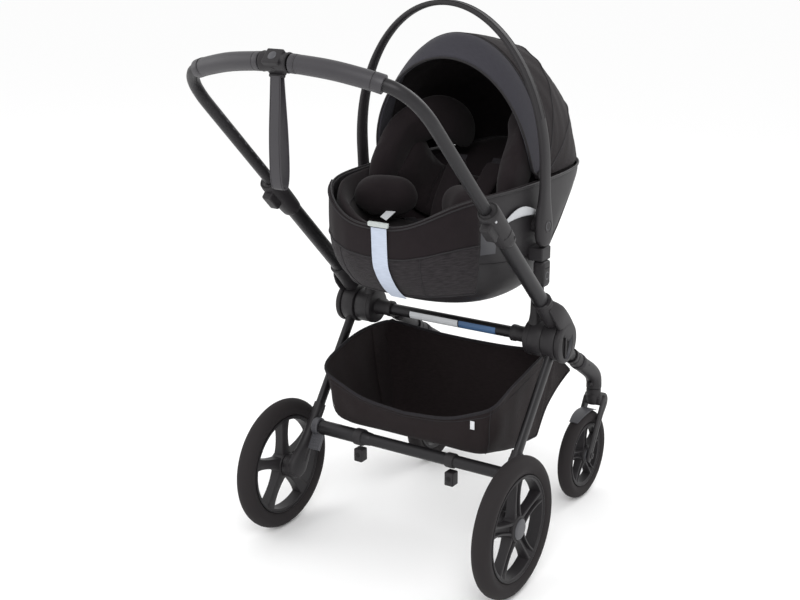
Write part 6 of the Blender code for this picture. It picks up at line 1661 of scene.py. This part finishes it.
def make_carry_handle():
    """Arch with egg-shaped bosses at its feet, two ridges along it and a button on each side."""
    boss_x = CARRY_HALF_WIDTH + CARRY_THICKNESS / 2 - CARRY_BOSS_THICKNESS / 2
    z0, boss, half_boss = CARRY_PIVOT.z, CARRY_BOSS_RADIUS, CARRY_BOSS_THICKNESS / 2
    stations = [(boss_x, rise * boss, wide * boss, thick * half_boss) for rise, wide, thick in (
        (-1.39, 0.16, 0.55), (-1.35, 0.40, 0.78), (-1.20, 0.70, 0.92), (-0.84, 0.91, 1),
        (-0.42, 0.985, 1), (0, 1.0, 1), (0.5, 0.95, 1), (1.0, 0.82, 1))]
    stations += [(CARRY_HALF_WIDTH - 0.0015, 0.052, 0.0205, 0.0086),
                 (CARRY_HALF_WIDTH, 0.084, 0.0176, 0.0075),
                 (CARRY_HALF_WIDTH, 0.106, 0.0172, 0.0075)]
    right = [(Vector((x, carry_lean(z0 + rise), z0 + rise)), (wide, thick))
             for x, rise, wide, thick in stations]
    arch = []
    count = 64
    for i in range(count + 1):
        turn = math.pi * i / count
        rise = math.sin(turn)
        z = CARRY_ARCH_BASE + CARRY_ARCH_RISE * rise
        arch.append((Vector((CARRY_HALF_WIDTH * math.cos(turn), carry_lean(z), z)),
                     (0.0172 - 0.0050 * rise, CARRY_THICKNESS / 2 - 0.0022 * rise)))
    left = [(mirrored(p), h) for p, h in reversed(right)]
    whole = right + arch + left
    soften(swept("carry_arch", [p for p, _ in whole], [h for _, h in whole], "nylon",
                 "carry_handle", (0, 1, 0), 32, 2.5, ("carry_handle",), 60))
    ridge = []
    for p, h in arch[6:-6]:
        outward = Vector((p.x, 0, max(0.0, p.z - CARRY_ARCH_BASE))).normalized()
        ridge.append(p + outward * (h[1] - 0.0002))
    for name, shift in (("front", 0.0070), ("back", -0.0070)):
        piping(f"carry_arch_ridge_{name}", [p + Vector((0, shift, 0)) for p in ridge],
               "carry_handle", 0.0007, "nylon")
    button = [(0.0105, -0.0045), (0.0105, -0.0010), (0.0098, -0.0002), (0.0078, 0.0),
              (0.0070, -0.0008), (0, -0.0012)]
    ring = [(0.0112, -0.0010), (0.0122, 0.0004), (0.0134, 0.0004), (0.0144, -0.0010)]
    for side, s in SIDES.items():
        place = Vector((s * (CARRY_HALF_WIDTH + CARRY_THICKNESS / 2), CARRY_PIVOT.y, CARRY_PIVOT.z))
        node = f"carry_button_{side}"
        turned(f"carry_release_{side}", button, place, (s, 0, 0), "grey", node, nodes=(node,))
        turned(f"carry_release_ring_{side}", ring, place, (s, 0, 0), "nylon", "carry_handle",
               caps=OPEN)


# Canopy

def canopy_arc(turn, half_width, rise, y_edge, base, y_back=0.0, square=2.0):
    """A point of an arch over the seat, from its right foot to its left one."""
    c, s = math.cos(turn), max(0.0, math.sin(turn))
    power = 2 / square
    return Vector((half_width * math.copysign(abs(c) ** power, c),
                   CANOPY_PIVOT.y + y_edge + y_back * s ** power, base + rise * s ** power))


def brim_edge(turn):
    """How far back the brim's rear edge lies."""
    s = max(0.0, math.sin(turn))
    return 0.007 + 0.010 * min(1, 6 * s) * abs(math.cos(turn)) - 0.011 * s


def brim_rows(count, steps):
    """Rows of the brim from its front edge to its rear one."""
    turns = [math.pi * i / count for i in range(count + 1)]
    rows = []
    for j in range(steps + 1):
        share = j / steps
        row = []
        for t in turns:
            s = max(0.0, math.sin(t))
            inner = -0.007 - 0.051 * s ** 0.35
            y_edge = inner + (brim_edge(t) - inner) * share
            swell = 1 - (1 - share) ** 2
            rise = BRIM_INNER_RISE + (BRIM_OUTER_RISE - BRIM_INNER_RISE) * swell
            width = CANOPY_HALF_WIDTH - 0.004 * (1 - share)
            row.append(canopy_arc(t, width, rise, y_edge, CANOPY_PIVOT.z))
        rows.append(row)
    return rows


def make_brim():
    """Stiff padded front of the canopy, bound at both edges."""
    rows = brim_rows(72, 14)
    cloth_sheet("brim_cover", rows, "brim", "canopy", ("canopy_brim",), BRIM_CLOTH,
                Vector((0, CANOPY_PIVOT.y + 0.03, CANOPY_PIVOT.z)),
                False)
    piping("brim_binding_front", rows[0], "canopy", 0.0024)
    piping("brim_binding_back", [p + Vector((0, -0.0006, -0.0008)) for p in rows[-1]], "canopy",
           0.0020)
    knuckle = [(0.0088, -0.009), (0.0100, -0.008), (0.0100, 0.0), (0.0088, 0.0012), (0, 0.0014)]
    for side, s in SIDES.items():
        place = (s * CANOPY_HALF_WIDTH, CANOPY_PIVOT.y, CANOPY_PIVOT.z)
        turned(f"brim_knuckle_{side}", knuckle, place, (s, 0, 0), "nylon", "canopy", 32)


def dome_rows(count, steps):
    """Rows of the dome from the brim back and down to the head end's rim."""
    turns = [math.pi * i / count for i in range(count + 1)]
    base_low = RIM_HEIGHT + 0.0033
    start = 0.0145
    rows = []
    for i in range(steps + 1):
        share = i / steps
        back = math.radians(90 * share)
        reach = BRIM_OUTER_RISE + (DOME_BACK_REACH - BRIM_OUTER_RISE) * share
        dip = 0.0065 * abs(math.sin(3 * math.pi * share))
        base = CANOPY_PIVOT.z + 0.0006 + (base_low - CANOPY_PIVOT.z) * share
        foot = start + DOME_FOOT_SPREAD * share
        width = CANOPY_HALF_WIDTH - 0.003 * min(1, 3 * share)
        row = []
        for t in turns:
            seam = brim_edge(t) + 0.0018
            y_edge = foot + (seam - start) * (1 - share) ** 2
            crease = 0.0012 * math.sin(t * 23 + i * 0.7) * min(1.0, 4 * share) * math.sin(t)
            depth = (reach - dip) * math.sin(back) - DOME_FOOT_SPREAD * share
            row.append(canopy_arc(t, width + crease, (reach - dip + crease) * math.cos(back),
                                  y_edge, base, depth + crease, 2 + 0.7 * share))
        rows.append(row)
    return rows


def make_dome():
    """Canopy cloth: thin, drawn in between its hoops and piped along two of them."""
    rows = dome_rows(72, 45)
    centre = Vector((0, CANOPY_PIVOT.y + 0.05, CANOPY_PIVOT.z))
    mesh = flip_outwards(loft("dome", rows, closed=False, caps=OPEN), centre)
    dome = thicken(piece("dome_cover", mesh, "dome", "seat", (), 80), DOME_CLOTH, False)
    dome.data = baked(dome)
    dome.parent = None
    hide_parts("canopy_dome")
    made = [dome]
    for k, i in enumerate((15, 30)):
        hoop = piping(f"dome_hoop_piping_{k}", [p + Vector((0, 0, 0.0002)) for p in rows[i]],
                      "seat", 0.0019)
        hoop.parent = None
        made.append(hoop)
    for cloth in made:
        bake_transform(cloth)


# Operators, stage and panel

class StrollerPart:
    """What the stroller's operators share."""
    bl_options = {"REGISTER", "UNDO"}


class STROLLER_OT_wheels(StrollerPart, bpy.types.Operator):
    """Four foam-tyred wheels with channelled spokes and hub caps"""
    bl_idname = "stroller.wheels"
    bl_label = "Wheels"

    def execute(self, context):
        for side in SIDES:
            make_wheel("rear", side, REAR_AXLE, REAR_RADIUS, REAR_WIDTH, REAR_TYRE_DEPTH, 0.019,
                       0.015)
            make_wheel("front", side, FRONT_AXLE, FRONT_RADIUS, FRONT_WIDTH, FRONT_TYRE_DEPTH,
                       0.0176, 0.0176)
        return {"FINISHED"}


class STROLLER_OT_front_frame(StrollerPart, bpy.types.Operator):
    """Caster forks, front legs, folding hubs, cross tube and seat adapters"""
    bl_idname = "stroller.front_frame"
    bl_label = "Front frame"

    def execute(self, context):
        for side in SIDES:
            make_fork(side)
            make_front_leg(side)
            make_hub(side)
            make_adapter(side)
        make_cross_tube()
        return {"FINISHED"}


class STROLLER_OT_rear_frame(StrollerPart, bpy.types.Operator):
    """Rear legs with their bosses, the axle tube, its lugs and the foot brake"""
    bl_idname = "stroller.rear_frame"
    bl_label = "Rear frame"

    def execute(self, context):
        for side in SIDES:
            make_rear_leg(side)
        make_axle_tube()
        make_brake()
        return {"FINISHED"}


class STROLLER_OT_handle(StrollerPart, bpy.types.Operator):
    """Telescoping handle with its clamps, grips, clasp and wrist strap"""
    bl_idname = "stroller.handle"
    bl_label = "Handle"

    def execute(self, context):
        for side in SIDES:
            make_handle_side(side)
        make_bow()
        make_grips()
        make_clasp()
        make_wrist_strap()
        return {"FINISHED"}


class STROLLER_OT_basket(StrollerPart, bpy.types.Operator):
    """Fabric basket with its hem, seams, side panels and a blank tag"""
    bl_idname = "stroller.basket"
    bl_label = "Basket"

    def execute(self, context):
        make_basket()
        return {"FINISHED"}


class STROLLER_OT_seat(StrollerPart, bpy.types.Operator):
    """Seat shell, foot cover, padding, harness, pull strap and carry handle"""
    bl_idname = "stroller.seat"
    bl_label = "Infant seat"

    def execute(self, context):
        make_shell()
        make_foot_cover()
        make_liner()
        make_insert()
        make_headrest()
        make_bolsters()
        make_harness()
        make_pull_strap()
        make_carry_handle()
        make_insert_tag()
        return {"FINISHED"}


class STROLLER_OT_canopy(StrollerPart, bpy.types.Operator):
    """Canopy brim and dome"""
    bl_idname = "stroller.canopy"
    bl_label = "Canopy"

    def execute(self, context):
        make_brim()
        make_dome()
        return {"FINISHED"}


class STROLLER_OT_stage(StrollerPart, bpy.types.Operator):
    """Pale floor, soft studio light and the photograph's camera"""
    bl_idname = "stroller.stage"
    bl_label = "Stage"

    def execute(self, context):
        make_floor()
        make_lights(context.scene)
        make_camera(context.scene)
        return {"FINISHED"}


def make_floor():
    """A pale plane that shows plain white to the camera but keeps the shadow."""
    mesh = bpy.data.meshes.new("floor")
    work = bmesh.new()
    bmesh.ops.create_grid(work, x_segments=1, y_segments=1, size=60.0)
    work.to_mesh(mesh)
    work.free()
    floor = bpy.data.objects.new("floor", mesh)
    bpy.context.scene.collection.objects.link(floor)
    floor.location.z = -0.0006
    made, _, _ = surface("pale_floor", linear("fcfcfc"), 0.9, Specular_IOR_Level=0.0)
    mesh.materials.append(made)


def make_lights(scene):
    """White surroundings and three soft lamps, without tone mapping."""
    scene.view_settings.view_transform = "Standard"
    world = bpy.data.worlds.new("studio")
    scene.world = world
    world.use_nodes = True
    tree = world.node_tree
    background = tree.nodes["Background"]
    background.inputs["Color"].default_value = (1, 1, 1, 1)
    for name, place, size, power in (("key", (1.6, -2.6, 2.9), 1.8, 56),
                                     ("fill", (-2.8, -1.4, 1.9), 2.2, 18),
                                     ("rim", (0.8, 2.8, 2.6), 2.0, 30)):
        lamp = bpy.data.lights.new(name, "AREA")
        lamp.size = size
        lamp.energy = power
        holder = bpy.data.objects.new(name, lamp)
        scene.collection.objects.link(holder)
        holder.location = place
        aim = Vector((0, 0, 0.55)) - holder.location
        holder.rotation_euler = aim.to_track_quat("-Z", "Y").to_euler()


def make_camera(scene):
    """The camera that the photograph was taken with, as it was solved."""
    back = Vector((math.sin(VIEW_AZIMUTH) * math.cos(VIEW_ELEVATION),
                   -math.cos(VIEW_AZIMUTH) * math.cos(VIEW_ELEVATION), math.sin(VIEW_ELEVATION)))
    data = bpy.data.cameras.new("photo_view")
    data.sensor_width = SENSOR_WIDTH
    data.lens = SENSOR_WIDTH * VIEW_FOCAL_PIXELS / PHOTO_WIDTH
    data.clip_start = 0.05
    camera = bpy.data.objects.new("photo_view", data)
    scene.collection.objects.link(camera)
    camera.location = VIEW_TARGET + back * VIEW_DISTANCE
    camera.rotation_euler = (-back).to_track_quat("-Z", "Y").to_euler()
    scene.camera = camera


class STROLLER_PT_panel(bpy.types.Panel):
    """Lists the stroller's pieces, colours and sizes"""
    bl_idname = "STROLLER_PT_panel"
    bl_label = "Stroller"
    bl_space_type = "VIEW_3D"
    bl_region_type = "UI"
    bl_category = "Stroller"

    def draw(self, context):
        layout = self.layout
        for operator in OPERATORS:
            layout.operator(operator.bl_idname)
        for group in (context.scene.stroller_finishes, context.scene.stroller_sizes):
            box = layout.box()
            for name in group.__annotations__:
                box.prop(group, name)


OPERATORS = (STROLLER_OT_stage, STROLLER_OT_wheels, STROLLER_OT_front_frame, STROLLER_OT_rear_frame,
             STROLLER_OT_handle, STROLLER_OT_basket, STROLLER_OT_seat, STROLLER_OT_canopy)
CLASSES = (StrollerFinishes, StrollerSizes, *OPERATORS, STROLLER_PT_panel)


def register():
    for kind in CLASSES:
        bpy.utils.register_class(kind)
    bpy.types.Scene.stroller_finishes = PointerProperty(type=StrollerFinishes)
    bpy.types.Scene.stroller_sizes = PointerProperty(type=StrollerSizes)


def unregister():
    del bpy.types.Scene.stroller_sizes
    del bpy.types.Scene.stroller_finishes
    for kind in reversed(CLASSES):
        bpy.utils.unregister_class(kind)


def main():
    register()
    bpy.ops.stroller.stage()
    bpy.ops.stroller.wheels()
    bpy.ops.stroller.front_frame()
    bpy.ops.stroller.rear_frame()
    bpy.ops.stroller.handle()
    bpy.ops.stroller.basket()
    bpy.ops.stroller.seat()
    bpy.ops.stroller.canopy()
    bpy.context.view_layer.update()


if __name__ == "__main__":
    main()
